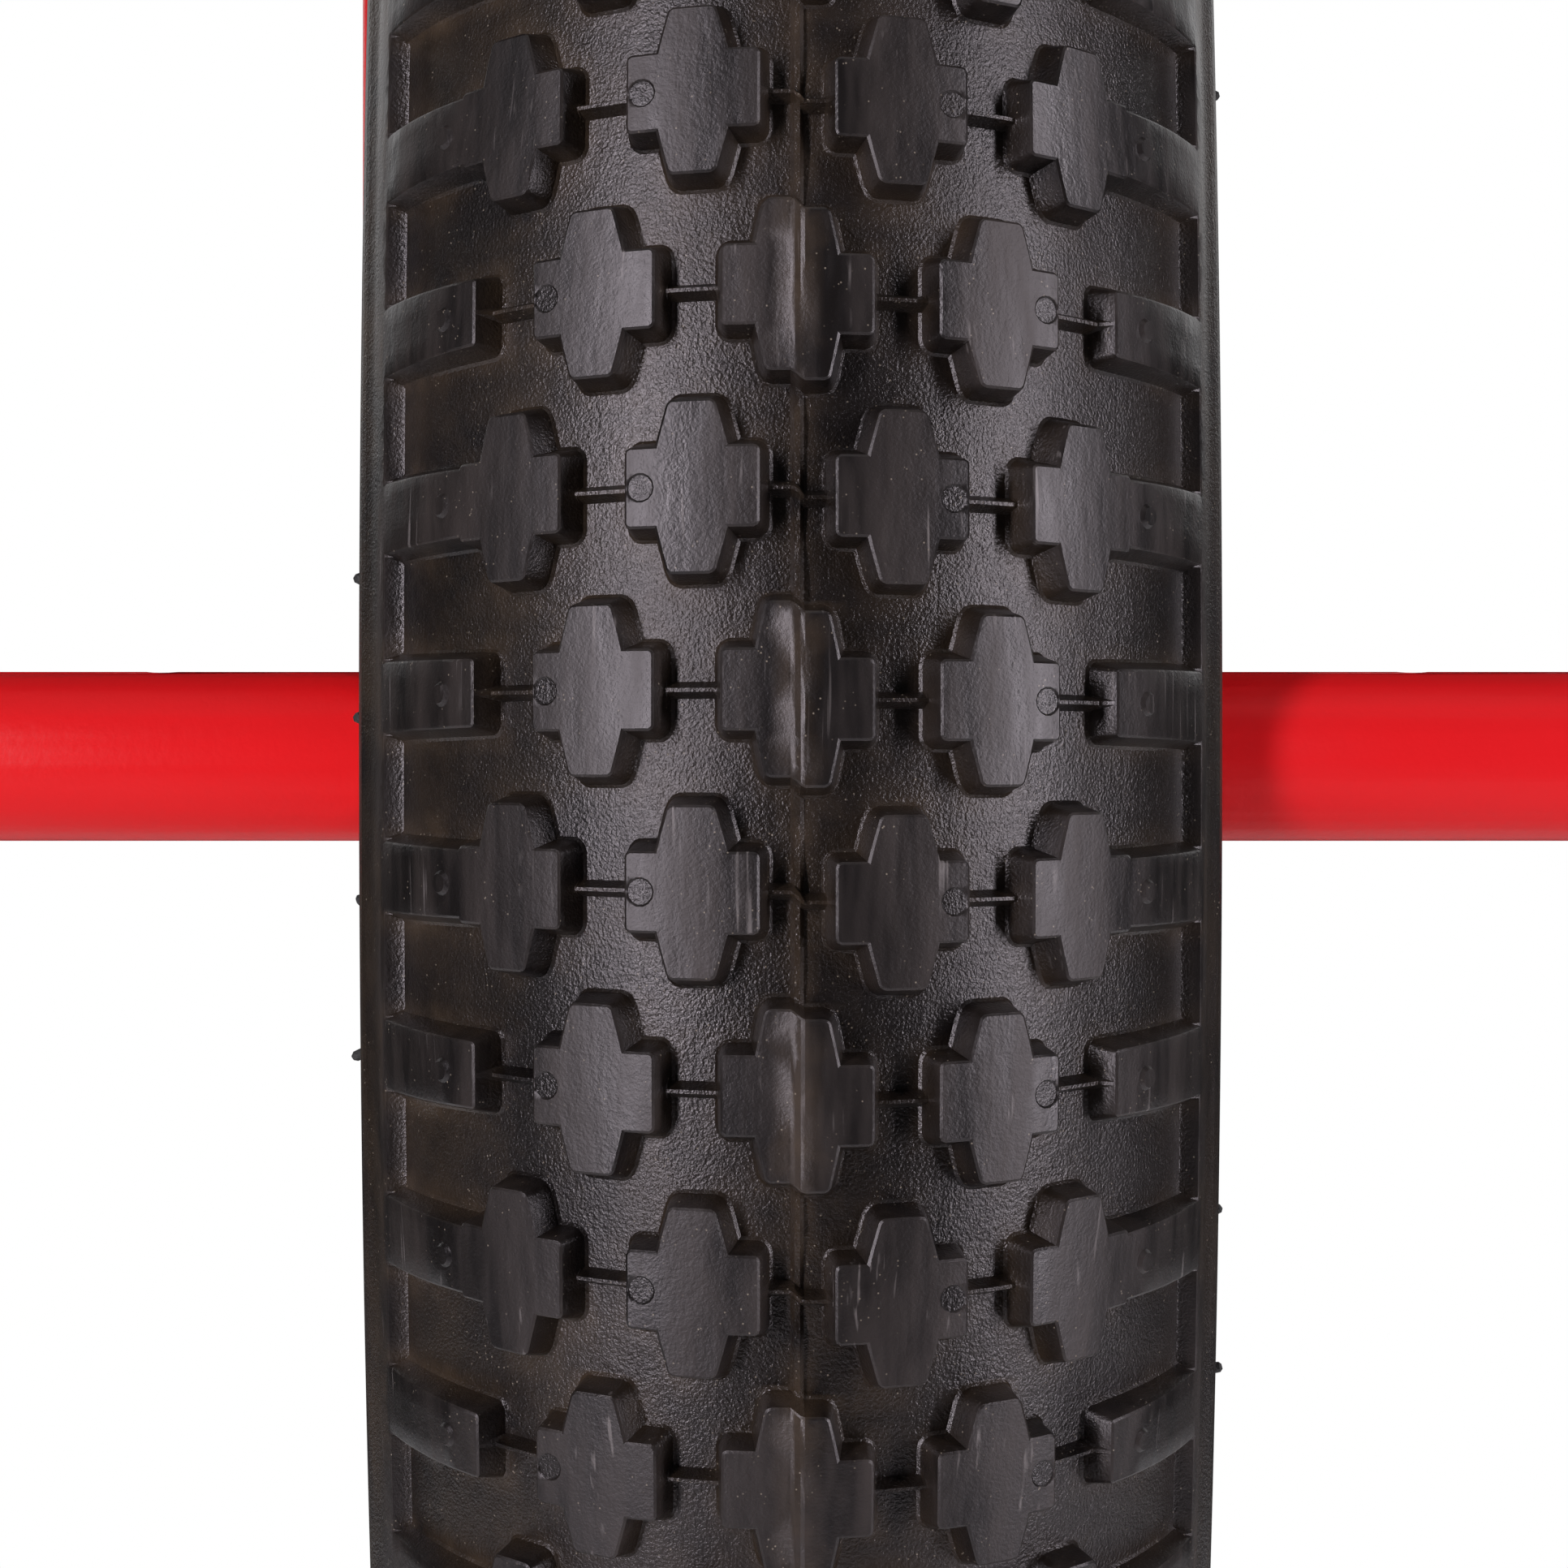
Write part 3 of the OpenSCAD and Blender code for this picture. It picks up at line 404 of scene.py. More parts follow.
# The tread is drawn flat in millimetres: v runs across it from the middle, and u runs
# round it, over one pitch that holds two rows of knobs.
PITCHES = 70
CROWN_R = TYRE_HALF / MM  # the tyre's own round section
WHEEL_MM = WHEEL_R / MM
RING_R = WHEEL_MM - CROWN_R  # where that section's centre lies
PITCH = 2 * math.pi * WHEEL_MM / PITCHES
ROW_A = PITCH / 4
ROW_B = 3 * PITCH / 4
MID = -0.44  # where the seam lies across the tyre
STAGGER = 0.35  # how far each half is out of line
FRONT_ROW = 1.93  # height of the middle knob nearest to the axle's height
EDGE_V = 39.0  # half width of the drawn strip
KNOB_ARM = 2.8  # half height of a knob's level arm
KNOB_TALL = 6.0  # half height of the whole knob
KNOB_CORNER = 0.4
FLOOR_AT = (0, 26, 38)
FLOOR_DEPTH = (2.4, 2.4, 1.3)
WALL_AT = (-0.14, 0.04, 0.62, 0.85)  # distances from a knob's outline, and heights there
WALL_HEIGHT = (1.0, 0.95, 0.08, 0.0)
STRIP_AT = (37.2, 37.35, 37.8, 37.95)  # the raised strip that ends the shoulder lugs
STRIP_HEIGHT = (0.0, 0.1, 0.95, 1.0)
RIB_AT = (0.13, 0.6)  # half widths of a joining rib's top and foot
RIB_HEIGHT = 1.15
RIB_OVER = 0.8  # how far a rib runs on into its knobs
SEAM_AT = (0.2, 0.5)
SEAM_HEIGHT = 0.85
DISC_R = 1.05  # sunk vent marks on the knobs
DISC_EDGE = 0.15
DISC_DEPTH = 0.12
DISC_OFF = 3.65  # from a knob's centre
PIP_R = 0.95  # raised vent marks on the lugs
PIP_EDGE = 0.25
PIP_HEIGHT = 0.3
PIP_AT = 28.7
MARK_SIDES = 14
GRID_STEP = 1.9
BORDER_STEPS = 8
MATCH = 1e-4  # two flat points closer than this are one
INNER_V = 7.4  # centres of the knobs on one side
SHOULDER_V = 22.0
OUTER_V = 14.8
LUG_V = 31.7


def box_distance(v, u, half_v, half_u, corner):
    """Signed distance to a rounded rectangle about the origin."""
    dv = np.abs(v) - (half_v - corner)
    du = np.abs(u) - (half_u - corner)
    outside = np.hypot(np.maximum(dv, 0), np.maximum(du, 0))
    return outside + np.minimum(np.maximum(dv, du), 0) - corner


def taper_distance(v, u, wide, narrow, half_u, corner):
    """Signed distance to an upright arm that narrows from its middle to its ends."""
    run = half_u - KNOB_ARM
    share = np.clip((np.abs(u) - KNOB_ARM) / run, 0, 1)
    half_v = wide + (narrow - wide) * share
    lean = (wide - narrow) / run
    side = (np.abs(v) - half_v) / math.hypot(1, lean)
    end = np.abs(u) - half_u
    dv, du = side + corner, end + corner
    outside = np.hypot(np.maximum(dv, 0), np.maximum(du, 0))
    return outside + np.minimum(np.maximum(dv, du), 0) - corner


def cross(v, u, half_v=4.75, wide=2.55, narrow=1.65):
    """A knob's top: a level arm and an upright arm that narrows."""
    level = box_distance(v, u, half_v, KNOB_ARM, KNOB_CORNER)
    return np.minimum(level, taper_distance(v, u, wide, narrow, KNOB_TALL, KNOB_CORNER))


def lug(v, u, inner, outer=38.2):
    """A shoulder lug, a little wider at its outer end."""
    share = np.clip((v - inner) / (outer - inner), 0, 1)
    middle, half = (inner + outer) / 2, (outer - inner) / 2
    return box_distance(v - middle, u / (1 + 0.1 * share), half, 2.45, 0.3)


def shoulder_knob(v, u):
    """A cross that runs on into a lug."""
    return np.minimum(cross(v, u), lug(v + SHOULDER_V, u, 24.0))


def outer_lug(v, u):
    return lug(v + LUG_V, u, 25.2)


def middle_knob(v, u):
    """The wider cross on the seam."""
    return cross(v, u, 5.3, 2.9, 2.2)


PHASE = (FRONT_ROW - ROW_B) / WHEEL_MM

# Each knob on one side: its distance function, its centre and its row.
KNOBS = (
    (cross, INNER_V, ROW_A),
    (shoulder_knob, SHOULDER_V, ROW_A),
    (cross, OUTER_V, ROW_B),
    (outer_lug, LUG_V, ROW_B),
)
DISCS = ((INNER_V + DISC_OFF, ROW_A), (OUTER_V + DISC_OFF, ROW_B))
PIPS = ((PIP_AT, ROW_A), (PIP_AT, ROW_B))
# Each rib's start, end and row.
RIBS = ((0.0, 2.7, ROW_A), (12.1, 17.3, ROW_A), (19.55, 25.2, ROW_B), (5.3, 10.05, ROW_B))


def row_shift(v):
    """The two halves of the mould meet a little out of line."""
    return -STAGGER * np.clip(v / 0.4, -1, 1)


def knob_distance(v, u):
    """Signed distance to the nearest knob's outline."""
    side = np.abs(v)
    nearest = middle_knob(v, u - ROW_B)
    for shape, centre, row in KNOBS:
        nearest = np.minimum(nearest, shape(side - centre, u - row))
    return nearest


def tread_height(v, u):
    """(height above the crown's round surface, share of the full knob height)."""
    side = np.abs(v)
    depth = np.interp(side, FLOOR_AT, FLOOR_DEPTH)
    share = np.interp(knob_distance(v, u), WALL_AT, WALL_HEIGHT)
    share = np.maximum(share, np.interp(side, STRIP_AT, STRIP_HEIGHT))
    height = -depth * (1 - share)
    for start, end, row in RIBS:
        inside = (side > start - RIB_OVER) & (side < end + RIB_OVER)
        rib = -depth + RIB_HEIGHT * np.interp(np.abs(u - row), RIB_AT, (1, 0))
        height = np.where(inside, np.maximum(height, rib), height)
    for centre, row in DISCS:
        away = np.hypot(side - centre, u - row)
        height = height - DISC_DEPTH * np.interp(away, (DISC_R - DISC_EDGE, DISC_R), (1, 0))
    for centre, row in PIPS:
        away = np.hypot(side - centre, u - row)
        height = height + PIP_HEIGHT * np.interp(away, (PIP_R - PIP_EDGE, PIP_R), (1, 0))
    return height, share


def outline(distance, level, reach):
    """Where a knob's distance is a level, as a closed line seen from its centre."""
    turns = np.linspace(0, 2 * math.pi, 1440, endpoint=False)
    near, far = np.zeros_like(turns), np.full_like(turns, reach)
    for _ in range(26):  # halves the range until it is far below a micrometre
        middle = (near + far) / 2
        inside = distance(middle * np.cos(turns), middle * np.sin(turns)) < level
        near, far = np.where(inside, middle, near), np.where(inside, far, middle)
    return np.stack((near * np.cos(turns), near * np.sin(turns)), 1)


def thin_line(line, off=0.035, longest=2.2):
    """Keeps a closed line's corners and drops points that lie on its straights."""
    keep = np.zeros(len(line), bool)
    keep[[0, len(line) // 2]] = True
    spans = [(0, len(line) // 2), (len(line) // 2, len(line))]
    closed = np.vstack((line, line[:1]))
    while spans:
        a, b = spans.pop()
        if b - a < 2:
            continue
        chord = closed[b] - closed[a]
        size = max(np.hypot(*chord), 1e-9)
        away = closed[a + 1 : b] - closed[a]
        off_line = np.abs(chord[0] * away[:, 1] - chord[1] * away[:, 0]) / size
        if off_line.max() > off or size > longest:
            middle = a + 1 + int(off_line.argmax() if off_line.max() > off else (b - a) // 2 - 1)
            keep[middle % len(line)] = True
            spans += [(a, middle), (middle, b)]
    return line[keep]


def tread_sector():
    """One pitch of tread as flat points and triangles, with matching long edges."""
    points, edges = [], []

    def add_line(line, closed=True):
        first = len(points)
        points.extend((float(v), float(u)) for v, u in line)
        count = len(line)
        edges.extend((first + i, first + i + 1) for i in range(count - 1))
        if closed:
            edges.append((first + count - 1, first))

    border = np.linspace(0, PITCH, BORDER_STEPS + 1)
    across = np.linspace(-EDGE_V, EDGE_V, 61)
    for v in (-EDGE_V, EDGE_V):
        add_line([(v, u) for u in border], False)
    for u in (0, PITCH):
        add_line([(v, u) for v in across], False)
    for side in (-1, 1):
        for shape, centre, row in KNOBS:
            reach = 20 if shape in (shoulder_knob, outer_lug) else 9
            for level in WALL_AT:
                line = thin_line(outline(shape, level, reach))
                line[:, 0] = np.minimum(line[:, 0] + centre, EDGE_V - 0.3) * side
                line[:, 1] += row
                add_line(line)
        for marks, radius, rim in ((DISCS, DISC_R, DISC_EDGE), (PIPS, PIP_R, PIP_EDGE)):
            for centre, row in marks:
                for size in (radius - rim, radius):
                    turns = np.linspace(0, 2 * math.pi, MARK_SIDES, endpoint=False)
                    add_line(
                        [(side * centre + size * math.cos(t), row + size * math.sin(t)) for t in turns]
                    )
        for start, end, row in RIBS:
            for off in (-RIB_AT[1], -RIB_AT[0], RIB_AT[0], RIB_AT[1]):
                low = max(start - RIB_OVER, 0.0)
                line = [(side * v, row + off) for v in np.linspace(low, end + RIB_OVER, 6)]
                add_line(line, False)
        for v in STRIP_AT + SEAM_AT:
            add_line([(side * v, u) for u in np.linspace(0, PITCH, 15)], False)
    for level in WALL_AT:
        line = thin_line(outline(middle_knob, level, 9))
        line[:, 1] += ROW_B
        add_line(line)
    grid_v, grid_u = np.meshgrid(
        np.arange(-EDGE_V + 1, EDGE_V - 0.5, GRID_STEP), np.arange(1, PITCH - 0.6, GRID_STEP)
    )
    grid = np.stack((grid_v.ravel(), grid_u.ravel()), 1)
    away = knob_distance(grid[:, 0], grid[:, 1])
    clear = (away < -0.6) | (away > 1.2)
    points.extend((float(v), float(u)) for v, u in grid[clear])
    made = delaunay_2d_cdt([Vector(p) for p in points], edges, [], 0, MATCH)
    flat = np.array([tuple(p) for p in made[0]])
    faces = [tuple(f) for f in made[2]]
    return flat, faces


def side_section():
    """The tyre's outline from the tread's edge over one sidewall, the bead and the inside
    to the middle, as (radius, half width) in millimetres."""
    corner = 17.2  # radius of the lower sidewall
    low = RING_R - corner
    lining = 28.5  # radius of the inside
    line = []
    edge = EDGE_V / CROWN_R
    for angle in np.linspace(edge, math.pi / 2, 16)[1:]:
        degree = math.degrees(angle)
        rib = 0.3 * sum(math.exp(-(((degree - at) / 0.75) ** 2)) for at in (72, 75.5, 79))
        reach = CROWN_R + rib
        line.append((RING_R + reach * math.cos(angle), reach * math.sin(angle)))
    for angle in np.linspace(0, math.pi / 2 - 0.25, 10)[1:]:
        ring = 0.5 * math.exp(-(((math.degrees(angle) - 48) / 3) ** 2))
        reach = corner + ring
        line.append((RING_R - reach * math.sin(angle), CROWN_R - corner + reach * math.cos(angle)))
    line += [(low - 0.6, 16.2), (low - 6.8, 16.0), (low - 7.3, 15.4), (low - 7.3, 12.2)]
    line += [(low + 1, 11.8), (low + 3.2, 12.5), (low + 5, 22), (RING_R - 2, lining)]
    line += [
        (RING_R - 1 + lining * math.cos(a), lining * math.sin(a)) for a in (1.1, 0.7, 0.35)
    ]
    return line


def ragged(angle, seed):
    """A repeatable unevenness round the wheel, from 0 to 1."""
    waves = sum(math.sin(seed + k * 1.7) * np.sin(k * 61 * angle + seed * k) for k in (1, 2, 3, 5))
    return np.clip(0.5 + 0.3 * waves, 0, 1)


def tread_marks(v, u, share):
    """(share of knob top, amount of dust and of the seam's lighter brown line) at flat points, for the
    material.
    """
    across = np.interp(v, (-38, -20, 0, 38), (1.0, 0.75, 0.25, 0.3))
    floor_dust = np.clip(1 - share, 0, 1) * across
    toe = np.interp(knob_distance(v, u), (-0.1, 0.5, 1.0, 2.2), (0, 1, 0.8, 0))
    toe_dust = toe * np.interp(v, (-38, 0, 38), (1.0, 0.7, 0.6))
    # The seam's ridge is coloured as a lighter brown line, carried in the same amount as the dust.
    seam = np.interp(np.abs(v), (0.35, 1.0), (1.0, 0))
    dust = np.clip(0.45 * floor_dust + 0.75 * toe_dust + seam, 0, 1)
    away = np.min([np.hypot(np.abs(v) - at, u - row) for at, row in DISCS], axis=0)
    return np.where(away < DISC_R - 0.1, 0.0, share), dust


def wrap_sector(v, u, height, share, start):
    """Flat points placed round the tyre, with the seam's ragged ridge added."""
    turn = (u + row_shift(v) + start) / WHEEL_MM + PHASE
    ridge = np.interp(np.abs(v), SEAM_AT, (1, 0)) * (1 - 0.65 * share)
    lift = SEAM_HEIGHT * ridge * (0.35 + 0.65 * ragged(turn, 3.0))
    wander = 0.25 * (ragged(turn, 8.0) - 0.5) * (np.abs(v) < 0.15)
    slope = (v + wander - MID) / CROWN_R
    reach = CROWN_R + height + lift
    return round_wheel(RING_R + reach * np.cos(slope), reach * np.sin(slope), turn)


def round_wheel(radius, across, turn):
    """Points at a radius from the axle, a distance across and an angle up from the front."""
    height = AXLE_Z / MM + radius * np.sin(turn)
    return np.stack((across, -radius * np.cos(turn), height), 1)


def close_sides(rims, made, blocks, faces):
    """Carries both edges of the tread over the sidewalls and joins them inside."""
    columns = PITCHES * BORDER_STEPS
    turns = 2 * math.pi * np.arange(columns) / columns + PHASE

    def band(row, following):
        for c in range(columns):
            after = (c + 1) % columns
            faces.append((row[c], row[after], following[after], following[c]))

    last_rows = []
    for side, row in zip((-1, 1), rims):
        side_turns = turns + row_shift(side) / WHEEL_MM
        for radius, half in side_section():
            blocks.append(round_wheel(radius, np.full(columns, side * half), side_turns))
            following = list(range(made, made + columns))
            made += columns
            band(row, following)
            row = following
        last_rows.append(row)
    left, right = last_rows
    band(left, right)


def build_tyre():
    flat, faces = tread_sector()
    v, u = flat[:, 0], flat[:, 1]
    height, share = tread_height(v, u)
    share, dust = tread_marks(v, u, share)

    # A sector's last edge is the next sector's first edge.
    start = np.nonzero(np.isclose(u, 0, atol=MATCH))[0]
    end = np.nonzero(np.isclose(u, PITCH, atol=MATCH))[0]
    at_start = {round(float(v[i]), 3): int(i) for i in start}
    partner = {int(i): at_start[round(float(v[i]), 3)] for i in end}
    own = np.array([i for i in range(len(flat)) if i not in partner])
    new_index = {int(old): k for k, old in enumerate(own)}
    size = len(own)
    count = PITCHES * size

    def vertex(i, k):
        """A flat point's index in sector k."""
        if i in partner:
            return (k + 1) % PITCHES * size + new_index[partner[i]]
        return k * size + new_index[i]

    sector = (v[own], u[own], height[own], share[own])
    blocks = [wrap_sector(*sector, k * PITCH) for k in range(PITCHES)]
    all_faces = [[vertex(i, k) for i in face] for k in range(PITCHES) for face in faces]

    steps = [round(float(x), 3) for x in np.linspace(0, PITCH, BORDER_STEPS + 1)][:-1]
    rims = []
    for side in (-1, 1):
        on_edge = np.isclose(np.abs(v), EDGE_V) & (np.sign(v) == side)
        edge = {round(float(u[i]), 3): int(i) for i in np.nonzero(on_edge)[0]}
        nearest = [edge[min(edge, key=lambda key: abs(key - step))] for step in steps]
        rims.append([k * size + new_index[i] for k in range(PITCHES) for i in nearest])
    close_sides(rims, count, blocks, all_faces)

    points = np.concatenate(blocks)
    mesh = mesh_of("tyre_tread", points * MM, all_faces)
    side_dust = np.interp(points[count:, 0], (-33, 0, 33), (0.55, 0.2, 0.3))
    side_share = np.full(len(side_dust), 0.35)
    for name, values in (
        ("raised", np.concatenate((np.tile(share[own], PITCHES), side_share))),
        ("dust", np.concatenate((np.tile(dust[own], PITCHES), side_dust))),
    ):
        layer = mesh.attributes.new(name, "FLOAT", "POINT")
        layer.data.foreach_set("value", values.astype(np.float32))
    face_outwards(mesh)
    smooth(mesh, 30)
    add_piece("tyre_tread", mesh, "wheel", make_tread_rubber(), ["tyre"])


def build_tyre_whiskers():
    """Short stubs left by the mould's vents along the tyre's widest line."""
    stubs = Solid()
    rng = np.random.default_rng(7)
    root_deep = 0.3
    torn = 0.62  # share of the stubs that are gone
    for side in (-1, 1):
        for k in range(2 * PITCHES):
            if rng.random() < torn:
                continue
            turn = math.pi * (k + rng.uniform(-0.08, 0.08)) / PITCHES
            lean = rng.uniform(-0.5, 0.5)
            slope = math.radians(rng.uniform(86, 90))
            length = root_deep + rng.uniform(0.3, 1.0)
            front = Vector((0, -math.cos(turn), math.sin(turn)))
            outward = Vector((side * math.sin(slope), 0, 0)) + math.cos(slope) * front
            root = RING_R * front + (CROWN_R - root_deep) * outward
            root.z += AXLE_Z / MM
            along = Vector((0, math.sin(turn), math.cos(turn)))
            path = [
                (root + outward * length * t + along * lean * t * t) * MM for t in (0, 0.4, 0.8, 1)
            ]
            stubs.tube(path, [0.55 * MM, 0.45 * MM, 0.42 * MM, 0.2 * MM], 7, along)
    add_piece("tyre_whiskers", stubs.mesh("tyre_whiskers"), "wheel", rubber)


# ---- chain ----------------------------------------------------------------


TEETH = 24
ROLLER_R = 3.85 * MM
ROLLER_HALF = 1.6 * MM
ROLLER_BEVEL = 0.25 * MM
PIN_R = 1.8 * MM
PIN_END_R = 1.4 * MM
PIN_BEVEL = 0.3 * MM
PLATE = 1.0 * MM
PLATE_BEVEL = 0.25 * MM
EYE_R = 4.15 * MM
# How far inside the pins' ends a plate's middle lies, and its half height at the waist.
OUTER_PLATE = (0.85 * MM, 2.7 * MM)
INNER_PLATE = (1.9 * MM, 3.1 * MM)


def chain_path():
    """The chain's roller centres in order, as (0, y, z), and the x of its plane."""
    low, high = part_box("chain_rollers")
    pitch_r = (high.y - low.y) / 2 - ROLLER_R
    lower_z = low.z + ROLLER_R + pitch_r
    upper_z = high.z - ROLLER_R - pitch_r
    pitch = 2 * pitch_r * math.sin(math.pi / TEETH)
    links = round((upper_z - lower_z) / pitch)
    run = (upper_z - lower_z) / links
    path = []
    for side, start_z, end_z in ((-1, lower_z, upper_z), (1, upper_z, lower_z)):
        path += [Vector((0, side * pitch_r, start_z - side * k * run)) for k in range(links + 1)]
        for k in range(1, TEETH // 2):
            turn = 2 * math.pi * k / TEETH
            y, z = side * math.cos(turn), -side * math.sin(turn)
            path.append(Vector((0, pitch_r * y, end_z + pitch_r * z)))
    return path, (low.x + high.x) / 2


def link_plate(solid, a, b, x, waist):
    """A figure-of-eight plate between two pins, with a bevelled rim."""
    along = (b - a).normalized()
    across = Vector((0, -along.z, along.y))
    half = (b - a).length / 2
    middle = (a + b) / 2
    rim = []
    steps = 9
    for end in (1, -1):
        for k in range(steps):
            turn = math.radians(-62 + 124 * k / (steps - 1)) + (0 if end > 0 else math.pi)
            rim.append((end * half + EYE_R * math.cos(turn), EYE_R * math.sin(turn)))
        rim.append((0, end * waist))
    points = []
    edge = PLATE / 2
    flat = edge - PLATE_BEVEL
    for off, shrink in ((-edge, PLATE_BEVEL), (-flat, 0), (flat, 0), (edge, PLATE_BEVEL)):
        for s, t in rim:
            scale = 1 - shrink / math.hypot(s, t)
            place = middle + along * s * scale + across * t * scale
            points.append(place + Vector((x + off, 0, 0)))
    count = len(rim)
    faces = []
    for row in (0, count, 2 * count):
        for k in range(count):
            after = (k + 1) % count
            faces.append((row + k, row + after, row + count + after, row + count + k))
    faces.append(list(range(count))[::-1])
    faces.append([3 * count + k for k in range(count)])
    solid.add(points, faces)


def build_chain():
    path, x = chain_path()
    low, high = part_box("chain_plates")
    half = (high.x - low.x) / 2
    plates, pins, rollers = Solid(), Solid(), Solid()

    def barrel(solid, centre, reach, bevel, radius, end_radius, sides):
        """A short bar along X with bevelled ends."""
        ends = (-reach, -reach + bevel, reach - bevel, reach)
        line = [centre + Vector((s, 0, 0)) for s in ends]
        solid.tube(line, [end_radius, radius, radius, end_radius], sides)

    for k, place in enumerate(path):
        following = path[(k + 1) % len(path)]
        inset, waist = INNER_PLATE if k % 2 else OUTER_PLATE
        for side in (-1, 1):
            link_plate(plates, place, following, x + side * (half - inset), waist)
        centre = Vector((x, place.y, place.z))
        barrel(pins, centre, half, PIN_BEVEL, PIN_R, PIN_END_R, 12)
        barrel(rollers, centre, ROLLER_HALF, ROLLER_BEVEL, ROLLER_R, ROLLER_R - ROLLER_BEVEL, 20)
    add_piece("chain_links", plates.mesh("chain_links"), "frame", oiled, ["chain_plates"])
    add_piece("chain_pins", pins.mesh("chain_pins"), "frame", steel)
    add_piece("chain_drums", rollers.mesh("chain_drums"), "frame", steel, ["chain_rollers"])


# ---- saddle ---------------------------------------------------------------

# The saddle's plan: half width at distances behind its middle, in metres.
PLAN_Y = (-0.160, -0.095, -0.020, 0.045, 0.105, 0.160)
PLAN_HALF = (0.036, 0.044, 0.041, 0.062, 0.076, 0.062)


def smooth_value(x, xs, ys):
    """A smooth curve through points, with level ends (Catmull-Rom)."""
    x = min(max(x, xs[0]), xs[-1])
    i = max(k for k in range(len(xs) - 1) if xs[k] <= x)
    t = (x - xs[i]) / (xs[i + 1] - xs[i])
    slope = []
    for k in (i, i + 1):
        before, after = max(k - 1, 0), min(k + 1, len(xs) - 1)
        slope.append((ys[after] - ys[before]) / (xs[after] - xs[before]) * (xs[i + 1] - xs[i]))
    a = 2 * t**3 - 3 * t**2 + 1
    b = t**3 - 2 * t**2 + t
    c = -2 * t**3 + 3 * t**2
    d = t**3 - t**2
    return a * ys[i] + b * slope[0] + c * ys[i + 1] + d * slope[1]


# The saddle is bent round a level line above it: the rocker.
cushion_low, cushion_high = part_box("saddle_cushion")
SEAT_R = 0.240
UNDER_R = SEAT_R + 0.042
SADDLE_Z = cushion_low.z + UNDER_R
ROCK = math.radians(32)  # half of the angle that the cushion covers
BLUNT = 0.034  # how far from its ends the cushion starts to round off


def seat_point(along, across, depth):
    """A place on the saddle: an angle along it, metres across, depth below the top."""
    radius = SEAT_R + depth
    return Vector((across, radius * math.sin(along), SADDLE_Z - radius * math.cos(along)))


def seat_half(along):
    """Half width at an angle along the rocker, rounded off at both ends."""
    y = SEAT_R * math.sin(along)
    half = smooth_value(y, PLAN_Y, PLAN_HALF)
    end = (ROCK - abs(along)) * SEAT_R
    if end < BLUNT:
        half *= math.sqrt(max(1 - (1 - end / BLUNT) ** 2, 0))
    return half


def pad_form():
    """The cushion before it is filled: a closed form a little smaller than the pad."""
    rows, cols = 56, 24
    inset = 0.004
    under = UNDER_R - SEAT_R - 0.0015
    top, bottom = [], []
    for i in range(rows):
        along = (ROCK - 0.012) * ease(i, rows)
        half = max(seat_half(along) - inset, 0.002)
        end = min(1, (ROCK - abs(along)) * SEAT_R / 0.03)
        for j in range(cols):
            t = ease(j, cols)
            crown = 0.004 + 0.013 * abs(t) ** 3 + 0.010 * (1 - end) ** 2
            top.append(seat_point(along, half * t, crown))
            bottom.append(seat_point(along, half * t * 0.97, under))
    solid = Solid()
    solid.add(top + bottom, slab_faces(rows, cols))
    return solid.mesh("pad_form")


def make_active(piece):
    bpy.ops.object.select_all(action="DESELECT")
    piece.select_set(True)
    bpy.context.view_layer.objects.active = piece


def places(mesh):
    """A mesh's points as an array."""
    flat = np.zeros(len(mesh.vertices) * 3)
    mesh.vertices.foreach_get("co", flat)
    return flat.reshape(-1, 3)


def fill_pad(piece, voxel=0.005, furthest=0.0045, pressure=4.0, frames=20):
    """Swells a pad by a short cloth simulation, and holds each point near its start."""
    make_active(piece)
    remesh = piece.modifiers.new("remesh", "REMESH")
    remesh.mode = "VOXEL"
    remesh.voxel_size = voxel
    bpy.ops.object.modifier_apply(modifier=remesh.name)
    before = places(piece.data)
    cloth = piece.modifiers.new("cloth", "CLOTH")
    cloth.settings.use_pressure = True
    cloth.settings.uniform_pressure_force = pressure
    cloth.settings.effector_weights.gravity = 0
    cloth.settings.quality = 6
    cloth.collision_settings.use_collision = False
    scene.frame_start, scene.frame_end = 1, frames
    for step in range(1, frames + 1):
        scene.frame_set(step)
    swollen = piece.evaluated_get(bpy.context.evaluated_depsgraph_get())
    move = places(swollen.to_mesh()) - before
    swollen.to_mesh_clear()
    piece.modifiers.remove(cloth)
    scene.frame_set(1)
    size = np.linalg.norm(move, axis=1, keepdims=True)
    move *= np.minimum(1, furthest / np.maximum(size, 1e-9))
    piece.data.vertices.foreach_set("co", (before + move).ravel())
    piece.data.update()


def hold_in_box(piece, low, high, spare=0.004):
    """Keeps a piece's points near its CAD solid's width and above the seat shell."""
    limit = UNDER_R - 0.0006
    for vertex in piece.data.vertices:
        place = vertex.co
        arm = Vector((0, place.y, place.z - SADDLE_Z))
        if arm.length > limit:
            arm *= limit / arm.length
            vertex.co = (place.x, arm.y, SADDLE_Z + arm.z)
        vertex.co.x = min(max(vertex.co.x, low.x - spare), high.x + spare)


def build_cushion():
    piece = add_piece(
        "cushion", pad_form(), "saddle", make_cover(), ["saddle_cushion"]
    )
    fill_pad(piece)
    hold_in_box(piece, cushion_low, cushion_high)
    finer = piece.modifiers.new("finer", "SUBSURF")
    finer.levels = finer.render_levels = 1
    make_active(piece)
    bpy.ops.object.modifier_apply(modifier=finer.name)
    piece.data.shade_smooth()
    return piece


STITCH_ROWS = (0.576, 0.64)  # shares of the half width
STITCH_LENGTH = 0.62  # share of the distance from stitch to stitch
WELT_R = 0.0016
WELT_DEPTH = 0.019


